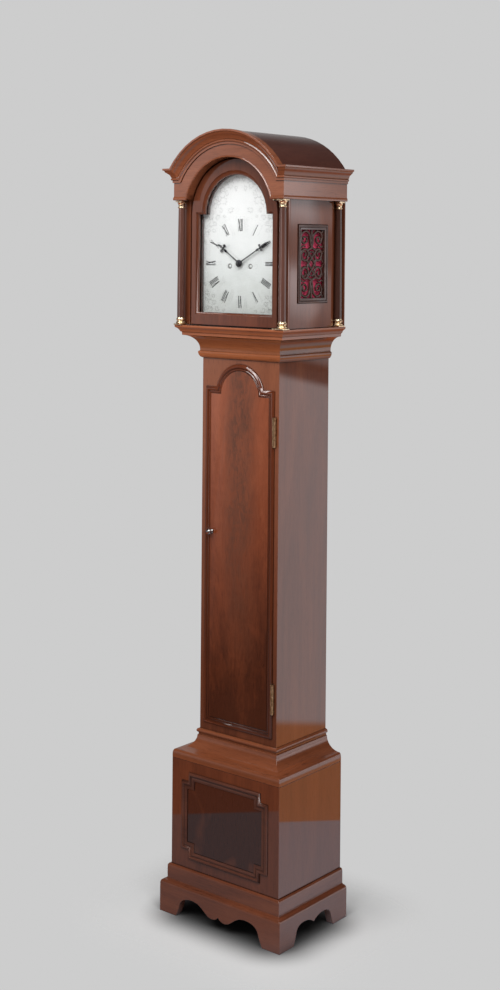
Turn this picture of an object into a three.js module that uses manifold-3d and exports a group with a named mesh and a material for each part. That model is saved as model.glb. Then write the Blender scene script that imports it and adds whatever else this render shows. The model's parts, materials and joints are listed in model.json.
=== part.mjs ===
// Small longcase clock with an arched hood, a glazed hood door, an arched trunk door,
// a panelled plinth on bracket feet and a two-train weight movement with a pendulum.
// Millimetres, +Z up, front towards -Y, origin on the floor under the middle of the case.
import * as THREE from 'three';
import { mergeVertices } from 'three/addons/utils/BufferGeometryUtils.js';
import Module from 'manifold-3d';

const wasm = await Module();
wasm.setup();

// Fits and clearances
const JOINT_GAP = 0.3; // between pieces that are glued, screwed or resting on each other
const RUNNING_GAP = 0.4; // round pivots, pipes and pins
const SLIDE_GAP = 1; // hood beside the case, doors in front of their frames
const LAP = 1; // joined forms run into each other, cutting forms run past the body

// Case, from the floor up
const APRON_HEIGHT = 60;
const SKIRT_OVOLO_HEIGHT = 11;
const SKIRT_BAND_HEIGHT = 25;
const SKIRT_CAP_HEIGHT = 7;
const SKIRT_PROJECTION = 17.5;
const SKIRT_BAND_PROJECTION = 6.3;
const SKIRT_QUIRK = 2; // step between the ovolo and the band
const PLINTH_HEIGHT = 334;
const PLINTH_CLEARANCE = 4; // plinth box above the apron's arch
const PLINTH_WALL = 14;
const PLINTH_BOARD = 12;
const WAIST_HEIGHT = 63;
const WAIST_PROJECTION = 42.3;
const WAIST_ROUND = 4;
const WAIST_COLLAR = 15; // above the cove
const COVE_BASE = 18;
const TRUNK_WIDTH = 212;
const TRUNK_DEPTH = 176;
const TRUNK_SHAFT = 811; // visible trunk between the waist and throat mouldings
const TRUNK_FRONT = 16;
const TRUNK_WALL = 12;
const BACK_BOARD = 8;
const THROAT_HEIGHT = 49;
const THROAT_PROJECTION = 33;
const THROAT_NECK = 5;
const THROAT_NECK_TOP = 18;
const CHEEK_HEIGHT = 73; // trunk sides above the throat, which carry the seat board
const CHEEK_SETBACK = 26; // cheeks behind the trunk's front

// Feet and apron
const FOOT_WIDTH_FRONT = 46;
const FOOT_WIDTH_SIDE = 49;
const APRON_ARCH = 44.5;
const APRON_LOBE = 21;
const APRON_CUSP = 29;
const SIDE_APRON_ARCH = 41;
const SIDE_APRON_CUSP = 30;

// Plinth panel moulding with notched corners
const PANEL_SIDE_RAIL = 29.3;
const PANEL_BOTTOM_RAIL = 21; // above the skirt
const PANEL_TOP_RAIL = 23;
const PANEL_NOTCH = 20;
const PANEL_MOULDING = 16;
const PANEL_RELIEF = 4.5;

// Trunk door
const DOOR_SIDE_RAIL = 11; // trunk front seen beside the door
const DOOR_BOTTOM_RAIL = 16; // trunk front seen below the door
const DOOR_TOP_RAIL = 9.5; // trunk front seen above the door
const DOOR_ARCH_INSET = 28; // door's edge beside its arch
const DOOR_SHOULDER = 15; // shoulders above the arch centre
const DOOR_LIP = 6;
const DOOR_RIM = 15;
const DOOR_FACE = 1.5; // panel in front of the trunk
const DOOR_RELIEF = 5;
const DOOR_TONGUE = 13;
const DOOR_OPENING_GAP = 1.5;

// Butt hinges and knob of the trunk door
const HINGE_LENGTH = 63;
const HINGE_RADIUS = 2.6;
const HINGE_PIN = 1.1;
const HINGE_LEAF = 1.4;
const HINGE_LEAF_WIDTH = 13;
const HINGE_UPPER_INSET = 55; // below the door's shoulder
const HINGE_LOWER_INSET = 53; // above the door's bottom
const KNOB_HEIGHT = 418; // above the door's bottom
const KNOB_INSET = 19;
const KNOB_RADIUS = 6.5;
const KNOB_LENGTH = 15;
const SPINDLE_RADIUS = 3;
const LATCH_THICKNESS = 3;

// Hood
const HOOD_BASE_HEIGHT = 22;
const HOOD_BASE_PROJECTION = 45;
const HOOD_BASE_FASCIA = 7;
const HOOD_BASE_NOSE = 5;
const COLUMN_ZONE = 272;
const FRIEZE_SIDE_STEP = 1; // frieze beyond the hood base
const FRIEZE_FRONT_STEP = 4;
const FRIEZE_HEIGHT = 38;
const FRIEZE_BOARD = 22;
const FRIEZE_SIDE = 15.7;
const FRIEZE_LIP_HEIGHT = 8;
const FRIEZE_LIP = 1.8;
const CORNICE_HEIGHT = 31;
const CORNICE_PROJECTION = 18.5;
const CORNICE_NOSE = 4;
const MITRE_LAP = 0.4; // arch moulding let into the level cornice
const MITRE_OVERRUN = 3; // degrees of arch past the mitre before it is trimmed
const ARCH_DROP = 30.5; // arch centre below the frieze's bottom edge
const ARCH_RISE = 28; // arch moulding beyond the frieze's half width
const ARCH_INSET = 31; // arched opening inside the frieze's half width
const ARCH_BEAD = 1.8;
const ROOF_THICKNESS = 8;
const CORNICE_REVEAL = 5; // cornice above the frieze board
const ROOF_REVEAL = 1.5; // arch moulding above the roof
const HOOD_SIDE = 11;
const HOOD_SIDE_DROP = 8; // hood side below the cornice's top
const HOOD_STILE_INSET = 4; // rear stile inside the frieze
const FRONT_STILE_INSET = 7;
const FRONT_STILE_DEPTH = 8;

// Columns
const COLUMN_SIDE_INSET = 11.5;
const COLUMN_FRONT_INSET = 13;
const COLUMN_BACK_INSET = 15;
const COLUMN_RADIUS = 8.2;
const COLUMN_NECK_RADIUS = 6.7;
const CAPITAL_HEIGHT = 17;
const CAPITAL_WIDTH = 19.5;
const BASE_HEIGHT = 17;
const BASE_WIDTH = 22;
const COLUMN_SQUARE = 3; // square slabs under the base and over the capital

// Side frets with silk behind
const FRET_WIDTH = 105;
const FRET_HEIGHT = 167;
const FRET_THICKNESS = 3; // let into the hood side
const FRET_SETBACK = 0.5; // pierced work behind the side's face
const FRET_RELIEF = 2.4; // frame in front of the side's face
const FRET_BORDER = 11;
const FRET_RIBBON = 6.2;
const FRET_CENTRE_DEPTH = 102;
const FRET_CENTRE_HEIGHT = 137; // above the hood base
const FRET_LEDGE = 4;
const SILK_THICKNESS = 0.8;

// Hood door, mask and dial
const SIGHT_INSET = 19; // sight's edge inside the arched opening
const SIGHT_ARCH_INSET = 35.5;
const SIGHT_BOTTOM = 29.5; // above the hood base
const HOOD_DOOR_THICKNESS = 13;
const HOOD_DOOR_CLEARANCE = 2.5; // inside the arched opening
const HOOD_DOOR_BEVEL = 5;
const GLASS_THICKNESS = 2;
const GLASS_LAP = 5;
const MASK_THICKNESS = 8;
const DIAL_THICKNESS = 2;
const DIAL_MARGIN = 6;
const DIAL_CENTRE = 136; // above the hood base
const WINDING_SPACING = 57;
const WINDING_DROP = 5.8;
const WINDING_HOLE_RADIUS = 5;
const DIAL_HOLE_RADIUS = 5.6;
const DIAL_FOOT_RADIUS = 2.5;
const DIAL_FOOT_SPREAD = 45;
const DIAL_FOOT_DROP = 48; // lower feet below the centre
const DIAL_FOOT_RISE = 62;
const PIVOT_RADIUS = 2;
const PIVOT_INSET = 1; // pivot axis outside the arched opening, past the pin
const STRAP_THICKNESS = 2;
const STRAP_EYE = 4.5;
const STRAP_TONGUE = 11;
const PIN_LENGTH = 4.5;

// Hands, at ten past ten
const MINUTE_SHORT = 6; // minute hand's tip inside the sight
const MINUTE_CROSS = 27; // cross below the tip
const HOUR_SHORT = 29;
const HOUR_CROSS = 17;
const HAND_THICKNESS = 1.2;
const HAND_BOSS = 6;
const HAND_ARBOR = 2.8;
const HOUR_PIPE = 4.6;
const HOUR_HAND_LIFT = 2.5;
const MINUTE_HAND_LIFT = 5.3;
const MINUTE_ANGLE = 60;
const HOUR_ANGLE = 305;

// Movement
const SEAT_THICKNESS = 15;
const SEAT_BACK_MARGIN = 14; // behind the pendulum
const SEAT_FRONT_MARGIN = 5; // in front of the front plate
const PLATE_WIDTH = 124;
const PLATE_HEIGHT = 180;
const PLATE_THICKNESS = 3;
const DIAL_STANDOFF = 20.7; // dial's face in front of the front plate
const PLATE_SPACING = 57;
const PILLAR_RADIUS = 4;
const PILLAR_STUB = 2.4;
const PILLAR_INSET = 7;
const PILLAR_DROP = 56; // upper pillars below the top of the plates
const ARBOR_RADIUS = 2;
const ARBOR_PIVOT = 1.2;
const WHEEL_THICKNESS = 2;
const BARREL_RADIUS = 18;
const BARREL_FLANGE = 22;
const BARREL_RIM = 1.5;
const BARREL_LENGTH = 33;
const BARREL_START = 14; // behind it lie the centre and third wheels
const GREAT_TEETH = 24;
const GREAT_RADIUS = 23.5;
const GREAT_PINION = 3.2;
const CENTRE_TEETH = 45;
const CENTRE_RADIUS = 25;
const CENTRE_LAYER = 3;
const THIRD_TEETH = 48;
const THIRD_RADIUS = 24;
const THIRD_LAYER = 8;
const PINION_LEAVES = 6;
const ESCAPE_TEETH = 30;
const ESCAPE_RADIUS = 21;
const ESCAPE_TOOTH = 4;
const PALLET_CLEARANCE = 1.6; // pallets clear of the tooth tips
const ESCAPE_LAYER = 16;
const ESCAPE_RISE = 54; // escape arbor above the centre arbor
const ANCHOR_RISE = 30; // anchor arbor above the escape arbor
const MOTION_WORK_GAP = 6; // hour wheel in front of the front plate
const HOUR_WHEEL_RADIUS = 17;
const HOUR_WHEEL_TEETH = 18;

// Pendulum, weights, bell
const PENDULUM_BEHIND = 16; // behind the back plate
const PENDULUM_LENGTH = 960; // suspension bend to the middle of the bob
const PENDULUM_ROD = 2.5;
const PENDULUM_SLOT = 13; // half width of the seat board's slot
const NUT_RADIUS = 7;
const NUT_HEIGHT = 6;
const SPRING_LENGTH = 8; // below the anchor arbor
const SPRING_HALF = 0.4;
const SPRING_PIN = 3;
const BOB_RADIUS = 42;
const BOB_THICKNESS = 24;
const CRUTCH_LENGTH = 94;
const CRUTCH_HALF = 3;
const CRUTCH_THICKNESS = 2;
const WEIGHT_RADIUS = 23.5;
const WEIGHT_HEIGHT = 150;
const WEIGHT_FLOOR = 130; // weight's lowest point when the clock has run down
const PULLEY_RADIUS = 16;
const PULLEY_RIM = 18;
const PULLEY_HALF = 3.5;
const STIRRUP_PIN = 2.5;
const STIRRUP_HALF = 4.5;
const PULLEY_RISE = 30; // pulley axle above the weight's shoulder
const LINE_RADIUS = 0.8;
const LINE_HOLE_RADIUS = 3;
const KNOT_RADIUS = 2.1;
const BELL_RADIUS = 36;
const BELL_WALL = 3;
const BELL_NUT = 4;
const STANDARD_HALF = 3;
const BELL_RISE = 133; // bell's mouth above the centre arbor
const BELL_BEHIND = 22; // bell's axis behind the front plate
const HAMMER_X = 48;
const HAMMER_RISE = 75;
const HAMMER_REST_GAP = 2;
const HAMMER_HEAD = 4;
const HAMMER_ARM = 1.5;
const COCK_RISE = 20; // back cock above the anchor arbor
const COCK_DROP = 9; // back cock below the anchor arbor
const COCK_HALF = 14;
const COCK_FOOT = 3;
const COCK_THICKNESS = 3;
const SADDLE_HEIGHT = 9;
const SPRING_ROOM = 1.8; // half of the slot that holds the suspension
const WINDER_RADIUS = 3.5;
const WINDING_SQUARE = 5;

// Facets
const ARC_STEPS = 8; // a half circle gets twice as many chords
const WIDE_ARC_STEPS = 10;
const TURN_STEPS = 10;
const WIDE_TURN_STEPS = 14;
const SMALL_STEPS = 6;
const HOLE_STEPS = 4;
const KNUCKLE_STEPS = 6;
const LINE_STEPS = 3;
const APRON_STEPS = 5;
const COVE_STEPS = 7;
const MITRE_STEPS = 8;
const FRET_OVAL_STEPS = 5;

// Levels and places that follow from the sizes above
const TRUNK_HALF = TRUNK_WIDTH / 2;
const PLINTH_HALF = TRUNK_HALF + WAIST_PROJECTION;
const PLINTH_DEPTH = TRUNK_DEPTH + WAIST_PROJECTION;
const PLINTH_BOTTOM = APRON_ARCH + PLINTH_CLEARANCE;
const SKIRT_TOP = APRON_HEIGHT + SKIRT_OVOLO_HEIGHT + SKIRT_BAND_HEIGHT + SKIRT_CAP_HEIGHT;
const PANEL_HALF_WIDTH = PLINTH_HALF - PANEL_SIDE_RAIL;
const PANEL_BOTTOM = SKIRT_TOP + PANEL_BOTTOM_RAIL;
const PANEL_TOP = PLINTH_HEIGHT - PANEL_TOP_RAIL;
const WAIST_TOP = PLINTH_HEIGHT + WAIST_HEIGHT;
const THROAT_BOTTOM = WAIST_TOP + TRUNK_SHAFT;
const THROAT_TOP = THROAT_BOTTOM + THROAT_HEIGHT;
const CHEEK_TOP = THROAT_TOP + CHEEK_HEIGHT;
const CHEEK_DEPTH = TRUNK_DEPTH - CHEEK_SETBACK;
const FRONT_INSIDE = TRUNK_DEPTH - TRUNK_FRONT;
const DOOR_HALF_WIDTH = TRUNK_HALF - DOOR_SIDE_RAIL;
const DOOR_ARCH_RADIUS = DOOR_HALF_WIDTH - DOOR_ARCH_INSET;
const DOOR_BOTTOM = WAIST_TOP + DOOR_BOTTOM_RAIL;
const DOOR_ARCH_CENTRE = THROAT_BOTTOM - DOOR_TOP_RAIL - DOOR_ARCH_RADIUS;
const HINGE_X = DOOR_HALF_WIDTH + HINGE_RADIUS + 2 * JOINT_GAP;
const HINGE_DEPTH = TRUNK_DEPTH + DOOR_RELIEF;
const HINGE_UPPER = DOOR_ARCH_CENTRE + DOOR_SHOULDER - HINGE_UPPER_INSET - HINGE_LENGTH;
const HINGE_PLACES = [['upper', HINGE_UPPER], ['lower', DOOR_BOTTOM + HINGE_LOWER_INSET]];
const HOOD_FLOOR = THROAT_TOP + HOOD_BASE_HEIGHT;
const FRIEZE_HALF_WIDTH = TRUNK_HALF + HOOD_BASE_PROJECTION + FRIEZE_SIDE_STEP;
const FRIEZE_DEPTH = TRUNK_DEPTH + HOOD_BASE_PROJECTION + FRIEZE_FRONT_STEP;
const FRIEZE_BOTTOM = HOOD_FLOOR + COLUMN_ZONE;
const CORNICE_BOTTOM = FRIEZE_BOTTOM + FRIEZE_HEIGHT;
const CORNICE_TOP = CORNICE_BOTTOM + CORNICE_HEIGHT;
const FRIEZE_TOP = CORNICE_TOP - CORNICE_REVEAL;
const ARCH_CENTRE = FRIEZE_BOTTOM - ARCH_DROP;
const ARCH_RADIUS = FRIEZE_HALF_WIDTH + ARCH_RISE;
const ARCH_OPENING = FRIEZE_HALF_WIDTH - ARCH_INSET;
const ARCH_OPENING_HALF = Math.sqrt(ARCH_OPENING ** 2 - ARCH_DROP ** 2); // at the lower edge
const ROOF_INNER = ARCH_RADIUS - ROOF_REVEAL - ROOF_THICKNESS;
const HOOD_SIDE_OUTER = FRIEZE_HALF_WIDTH - FRIEZE_SIDE - JOINT_GAP;
const HOOD_SIDE_INNER = HOOD_SIDE_OUTER - HOOD_SIDE;
const COLUMN_X = FRIEZE_HALF_WIDTH - COLUMN_SIDE_INSET;
const SIGHT_HALF_WIDTH = ARCH_OPENING - SIGHT_INSET;
const SIGHT_ARCH_RADIUS = ARCH_OPENING - SIGHT_ARCH_INSET;
const BACK_Y = (FRIEZE_DEPTH + CORNICE_PROJECTION) / 2;

// The hood door turns about a pin in the middle of the frieze's thickness, just outside its arch
const HOOD_PIVOT_X = ARCH_OPENING_HALF + PIVOT_RADIUS + PIVOT_INSET;
const HOOD_PIVOT_DEPTH = FRIEZE_DEPTH - FRIEZE_BOARD / 2;
const HOOD_DOOR_FRONT = FRIEZE_DEPTH - FRIEZE_BOARD - JOINT_GAP;
const HOOD_DOOR_BACK = HOOD_DOOR_FRONT - HOOD_DOOR_THICKNESS;
const DIAL_DEPTH = HOOD_DOOR_BACK - MASK_THICKNESS - 2 * SLIDE_GAP;

// Movement, from the dial towards the back
const FRONT_PLATE_DEPTH = DIAL_DEPTH - DIAL_STANDOFF;
const BACK_PLATE_FRONT = FRONT_PLATE_DEPTH - PLATE_THICKNESS - PLATE_SPACING;
const PENDULUM_DEPTH = BACK_PLATE_FRONT - PLATE_THICKNESS - PENDULUM_BEHIND;
const BELL_DEPTH = FRONT_PLATE_DEPTH - BELL_BEHIND;
const SEAT_FRONT_DEPTH = FRONT_PLATE_DEPTH + SEAT_FRONT_MARGIN;
const SEAT_BACK_DEPTH = PENDULUM_DEPTH - SEAT_BACK_MARGIN;
const SEAT_BOTTOM = CHEEK_TOP + JOINT_GAP;
const SEAT_TOP = SEAT_BOTTOM + SEAT_THICKNESS;
const CENTRE_Z = HOOD_FLOOR + DIAL_CENTRE;
const ESCAPE_Z = CENTRE_Z + ESCAPE_RISE;
const ANCHOR_Z = ESCAPE_Z + ANCHOR_RISE;
const HAMMER_Z = CENTRE_Z + HAMMER_RISE;
const BELL_Z = CENTRE_Z + BELL_RISE;
const COCK_TOP = ANCHOR_Z + COCK_RISE;
const COCK_DEPTH = PENDULUM_DEPTH + PENDULUM_ROD + 2 * JOINT_GAP;
const BARREL_Z = CENTRE_Z - WINDING_DROP;
const BARREL_X = WINDING_SPACING / 2;
const GREAT_LAYER = BARREL_START + BARREL_LENGTH + LAP;

// Each line leaves its barrel on the outer side, runs under the pulley and ends on the seat board
const LINE_OUTER_X = BARREL_X + BARREL_RADIUS + LINE_RADIUS + JOINT_GAP;
const LINE_INNER_X = LINE_OUTER_X - 2 * PULLEY_RADIUS;
const WEIGHT_X = LINE_OUTER_X - PULLEY_RADIUS;
const LINE_DEPTH = BACK_PLATE_FRONT + BARREL_START + BARREL_LENGTH / 2;

// The third arbor stands where its pinion and wheel mesh with the centre and escape arbors
const CENTRE_PINION = (CENTRE_RADIUS * PINION_LEAVES) / CENTRE_TEETH;
const ESCAPE_PINION = (THIRD_RADIUS * PINION_LEAVES) / THIRD_TEETH;
const CENTRE_REACH = CENTRE_RADIUS + CENTRE_PINION;
const THIRD_REACH = THIRD_RADIUS + ESCAPE_PINION;
const THIRD_RISE = (CENTRE_REACH ** 2 + ESCAPE_RISE ** 2 - THIRD_REACH ** 2) / (2 * ESCAPE_RISE);
const THIRD_X = Math.sqrt(CENTRE_REACH ** 2 - THIRD_RISE ** 2);
const THIRD_Z = CENTRE_Z + THIRD_RISE;

// y of a place that lies some depth in front of the clock's back
const fromBack = (depth) => BACK_Y - depth;
const toRadians = THREE.MathUtils.degToRad;

// Finishes as photographed
const FINISHES = {
  mahogany: { color: 0x6b3220, roughness: 0.28, metalness: 0 },
  flame: { color: 0x7a3a22, roughness: 0.22, metalness: 0 },
  oak: { color: 0x5a4030, roughness: 0.75, metalness: 0 },
  brass: { color: 0xc79a4a, roughness: 0.28, metalness: 1 },
  steel: { color: 0x8c8f94, roughness: 0.35, metalness: 1 },
  blackSteel: { color: 0x101014, roughness: 0.35, metalness: 0.6 },
  silver: { color: 0xe4e6e4, roughness: 0.4, metalness: 0.5 },
  glass: { color: 0xeef4f4, roughness: 0.03, metalness: 0 },
  silk: { color: 0xb01c38, roughness: 0.6, metalness: 0 },
  gut: { color: 0xb58a4c, roughness: 0.6, metalness: 0 },
};

const clock = new THREE.Group();

function addPart(name, geometry, finish) {
  const mesh = new THREE.Mesh(geometry, new THREE.MeshStandardMaterial(FINISHES[finish]));
  mesh.name = name;
  clock.add(mesh);
}

// Solids: a closed geometry goes to the boolean library and comes back as a geometry
function bareIndexed(geometry) {
  const bare = geometry.clone();
  for (const name of Object.keys(bare.attributes)) {
    if (name !== 'position') bare.deleteAttribute(name);
  }
  return mergeVertices(bare, 1e-4);
}

function signedVolume(positions, triangles) {
  const [a, b, c] = [new THREE.Vector3(), new THREE.Vector3(), new THREE.Vector3()];
  let total = 0;
  for (let i = 0; i < triangles.length; i += 3) {
    a.fromArray(positions, 3 * triangles[i]);
    b.fromArray(positions, 3 * triangles[i + 1]);
    c.fromArray(positions, 3 * triangles[i + 2]);
    total += a.dot(b.cross(c));
  }
  return total / 6;
}

function toSolid(geometry) {
  const merged = bareIndexed(geometry);
  const positions = new Float32Array(merged.attributes.position.array);
  const triangles = [];
  for (let i = 0; i < merged.index.count; i += 3) {
    const corner = [0, 1, 2].map((k) => merged.index.getX(i + k));
    if (new Set(corner).size === 3) triangles.push(...corner);
  }
  if (signedVolume(positions, triangles) < 0) triangles.reverse();
  const mesh = new wasm.Mesh({
    numProp: 3,
    vertProperties: positions,
    triVerts: Uint32Array.from(triangles),
  });
  return new wasm.Manifold(mesh);
}

function toGeometry(solid) {
  const mesh = solid.getMesh();
  const geometry = new THREE.BufferGeometry();
  geometry.setAttribute('position', new THREE.BufferAttribute(mesh.vertProperties, 3));
  geometry.setIndex(new THREE.BufferAttribute(mesh.triVerts, 1));
  geometry.computeVertexNormals();
  return geometry;
}

const join = (...pieces) => toGeometry(pieces.map(toSolid).reduce((a, b) => a.add(b)));
const cut = (body, ...tools) =>
  toGeometry(tools.map(toSolid).reduce((a, b) => a.subtract(b), toSolid(body)));
const common = (a, b) => toGeometry(toSolid(a).intersect(toSolid(b)));

// Basic forms. Ranges are [from, to].
function block([x0, x1], [y0, y1], [z0, z1]) {
  const geometry = new THREE.BoxGeometry(x1 - x0, y1 - y0, z1 - z0);
  return geometry.translate((x0 + x1) / 2, (y0 + y1) / 2, (z0 + z1) / 2);
}

// An outline in x and z, extruded between two depths in front of the back
function plate(shape, nearBack, nearFront, curveSegments = ARC_STEPS) {
  const depth = nearFront - nearBack;
  const geometry = new THREE.ExtrudeGeometry(shape, { depth, bevelEnabled: false, curveSegments });
  return geometry.rotateX(Math.PI / 2).translate(0, fromBack(nearBack), 0);
}

// An outline in depth and z, extruded along x
function sidePlate(shape, x0, x1, curveSegments = ARC_STEPS) {
  const options = { depth: x1 - x0, bevelEnabled: false, curveSegments };
  const geometry = new THREE.ExtrudeGeometry(shape, options);
  const axes = [new THREE.Vector3(0, 1, 0), new THREE.Vector3(0, 0, 1), new THREE.Vector3(1, 0, 0)];
  geometry.applyMatrix4(new THREE.Matrix4().makeBasis(...axes));
  return geometry.translate(x0, 0, 0);
}

// An outline in plan, extruded upwards
function post(shape, z0, z1, curveSegments = ARC_STEPS) {
  const options = { depth: z1 - z0, bevelEnabled: false, curveSegments };
  return new THREE.ExtrudeGeometry(shape, options).translate(0, 0, z0);
}

// A profile of [radius, height] pairs turned about a vertical axis
function turned(profile, x, depth, z, steps = TURN_STEPS) {
  const points = profile.map(([radius, height]) => new THREE.Vector2(radius, height));
  const geometry = new THREE.LatheGeometry(points, steps);
  return geometry.rotateX(Math.PI / 2).translate(x, fromBack(depth), z);
}

// A profile of [radius, depth] pairs turned about a horizontal axis that runs front to back
function spun(profile, x, z, steps = TURN_STEPS) {
  const points = profile.map(([radius, depth]) => new THREE.Vector2(radius, depth));
  const geometry = new THREE.LatheGeometry(points, steps);
  return geometry.rotateZ(Math.PI).translate(x, fromBack(0), z);
}

const rod = (x, z, radius, nearBack, nearFront, steps = SMALL_STEPS) =>
  spun([[0, nearBack], [radius, nearBack], [radius, nearFront], [0, nearFront]], x, z, steps);

const upright = (x, depth, radius, z0, z1, steps = SMALL_STEPS) =>
  turned([[0, 0], [radius, 0], [radius, z1 - z0], [0, z1 - z0]], x, depth, z0, steps);

function polygon(points) {
  return new THREE.Shape(points.map(([u, v]) => new THREE.Vector2(u, v)));
}

function rectangle(u0, u1, v0, v1) {
  return polygon([[u0, v0], [u1, v0], [u1, v1], [u0, v1]]);
}

// A round outline, also used for round holes
function circle(u, v, radius) {
  const shape = new THREE.Shape();
  shape.absarc(u, v, radius, 0, 2 * Math.PI, false);
  return shape;
}

const ordered = (a, b) => [Math.min(a, b), Math.max(a, b)];
const mirrored = (points) => points.map(([u, v]) => [-u, v]).reverse();

// A closed surface through rings of points that all have the same count.
// Open stacks are capped at both ends; a looped stack closes on itself.
function loft(rings, capOutline, looped = false) {
  const count = rings[0].length;
  const positions = rings.flat().flatMap((p) => [p.x, p.y, p.z]);
  const triangles = [];
  const bands = looped ? rings.length : rings.length - 1;
  for (let r = 0; r < bands; r += 1) {
    const next = (r + 1) % rings.length;
    for (let i = 0; i < count; i += 1) {
      const j = (i + 1) % count;
      const [a, b, c, d] = [r * count + i, r * count + j, next * count + j, next * count + i];
      triangles.push(a, b, c, a, c, d);
    }
  }
  if (!looped) {
    const last = (rings.length - 1) * count;
    for (const [a, b, c] of THREE.ShapeUtils.triangulateShape(capOutline, [])) {
      triangles.push(c, b, a, last + a, last + b, last + c);
    }
  }
  const geometry = new THREE.BufferGeometry();
  geometry.setAttribute('position', new THREE.Float32BufferAttribute(positions, 3));
  if (signedVolume(positions, triangles) < 0) triangles.reverse();
  geometry.setIndex(triangles);
  geometry.computeVertexNormals();
  return geometry;
}

// Points of a profile, anticlockwise and without a repeated last point
function profilePoints(shape, divisions = 5) {
  const points = shape.getPoints(divisions);
  if (points[0].distanceTo(points[points.length - 1]) < 1e-6) points.pop();
  if (THREE.ShapeUtils.isClockWise(points)) points.reverse();
  return points;
}

// A moulding profile (projection, height) mitred round the left, front and right of a box
function threeSided(profile, half, frontDepth, backDepth, z, divisions) {
  const points = profilePoints(profile, divisions);
  const back = fromBack(backDepth);
  const stations = [
    (p) => new THREE.Vector3(-half - p.x, back, z + p.y),
    (p) => new THREE.Vector3(-half - p.x, fromBack(frontDepth + p.x), z + p.y),
    (p) => new THREE.Vector3(half + p.x, fromBack(frontDepth + p.x), z + p.y),
    (p) => new THREE.Vector3(half + p.x, back, z + p.y),
  ];
  return loft(stations.map((place) => points.map(place)), points);
}

// A profile (radius from the arch centre, depth) swept round the arch between two angles
function archSweep(profile, from, to, divisions) {
  const steps = 2 * WIDE_ARC_STEPS;
  const points = profilePoints(profile, divisions);
  const rings = [];
  for (let i = 0; i <= steps; i += 1) {
    const angle = toRadians(from + ((to - from) * i) / steps);
    const ring = points.map(
      (p) => new THREE.Vector3(p.x * Math.cos(angle), fromBack(p.y), ARCH_CENTRE + p.x * Math.sin(angle)),
    );
    rings.push(ring);
  }
  return loft(rings, points);
}

// A broken-arch outline: straight sides, square shoulders and a round head
function archedShape(half, bottom, shoulder, radius, centre) {
  const rise = Math.max(0, shoulder - centre);
  const start = Math.asin(rise / radius);
  const shape = new THREE.Shape();
  shape.moveTo(-half, bottom);
  shape.lineTo(half, bottom);
  shape.lineTo(half, shoulder);
  if (radius * Math.cos(start) < half - 1e-6) shape.lineTo(radius * Math.cos(start), shoulder);
  shape.absarc(0, centre, radius, start, Math.PI - start, false);
  if (radius * Math.cos(start) < half - 1e-6) shape.lineTo(-half, shoulder);
  return shape;
}

// Rings of one outline family at given insets and depths
function insetLoft(outline, steps, looped = false) {
  const rings = steps.map(([inset, depth]) =>
    profilePoints(outline(inset), ARC_STEPS).map((p) => new THREE.Vector3(p.x, fromBack(depth), p.y)),
  );
  return loft(rings, profilePoints(outline(steps[0][0]), ARC_STEPS), looped);
}

// Case

// An opening under an apron, from the right half of its curve
function apronOpening(curve, reach, middle) {
  const right = curve.getPoints(APRON_STEPS).map((p) => [p.x, p.y]);
  const outline = [[reach, -LAP], ...right, ...mirrored(right).slice(1), [-reach, -LAP]];
  return polygon(outline.map(([u, v]) => [middle + u, v]));
}

function makeBracketSkirt() {
  const bandBottom = APRON_HEIGHT + SKIRT_OVOLO_HEIGHT;
  const bandTop = bandBottom + SKIRT_BAND_HEIGHT;
  const profile = new THREE.Shape();
  profile.moveTo(JOINT_GAP, 0);
  profile.lineTo(SKIRT_PROJECTION, 0);
  profile.lineTo(SKIRT_PROJECTION, APRON_HEIGHT);
  profile.quadraticCurveTo(SKIRT_PROJECTION, bandBottom - SKIRT_QUIRK,
    SKIRT_BAND_PROJECTION + SKIRT_QUIRK, bandBottom - SKIRT_QUIRK);
  profile.lineTo(SKIRT_BAND_PROJECTION, bandBottom);
  profile.lineTo(SKIRT_BAND_PROJECTION, bandTop);
  profile.quadraticCurveTo(SKIRT_BAND_PROJECTION, SKIRT_TOP, JOINT_GAP, SKIRT_TOP);
  const board = threeSided(profile, PLINTH_HALF, PLINTH_DEPTH, 0, 0, APRON_STEPS);

  // Front apron: ogee arches between the feet with a cusped drop in the middle
  const frontReach = PLINTH_HALF + SKIRT_PROJECTION - FOOT_WIDTH_FRONT;
  const front = new THREE.Path();
  front.moveTo(frontReach, 0);
  front.quadraticCurveTo(frontReach - 7, 12, frontReach - 12, APRON_ARCH * 0.65);
  front.quadraticCurveTo(frontReach - 19, APRON_ARCH, frontReach * 0.6, APRON_ARCH);
  front.bezierCurveTo(frontReach * 0.37, APRON_ARCH, frontReach * 0.3, APRON_LOBE,
    frontReach * 0.16, APRON_LOBE);
  front.quadraticCurveTo(frontReach * 0.05, APRON_LOBE, 0, APRON_CUSP);
  const skirtDepth = PLINTH_DEPTH + SKIRT_PROJECTION;
  const frontCut = plate(apronOpening(front, frontReach, 0), PLINTH_DEPTH - LAP, skirtDepth + LAP);

  // Side aprons: two arches that meet in a point
  const sideReach = skirtDepth / 2 - FOOT_WIDTH_SIDE;
  const side = new THREE.Path();
  side.moveTo(sideReach, 0);
  side.quadraticCurveTo(sideReach - 5, 14, sideReach - 10, SIDE_APRON_ARCH * 0.73);
  side.quadraticCurveTo(sideReach - 16, SIDE_APRON_ARCH, sideReach * 0.5, SIDE_APRON_ARCH);
  side.quadraticCurveTo(sideReach * 0.2, SIDE_APRON_ARCH, 0, SIDE_APRON_CUSP);
  const wide = PLINTH_HALF + SKIRT_PROJECTION + LAP;
  const sideOpening = apronOpening(side, sideReach, fromBack(skirtDepth / 2));
  addPart('bracket_skirt', cut(board, frontCut, sidePlate(sideOpening, -wide, wide)), 'mahogany');
}

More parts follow.
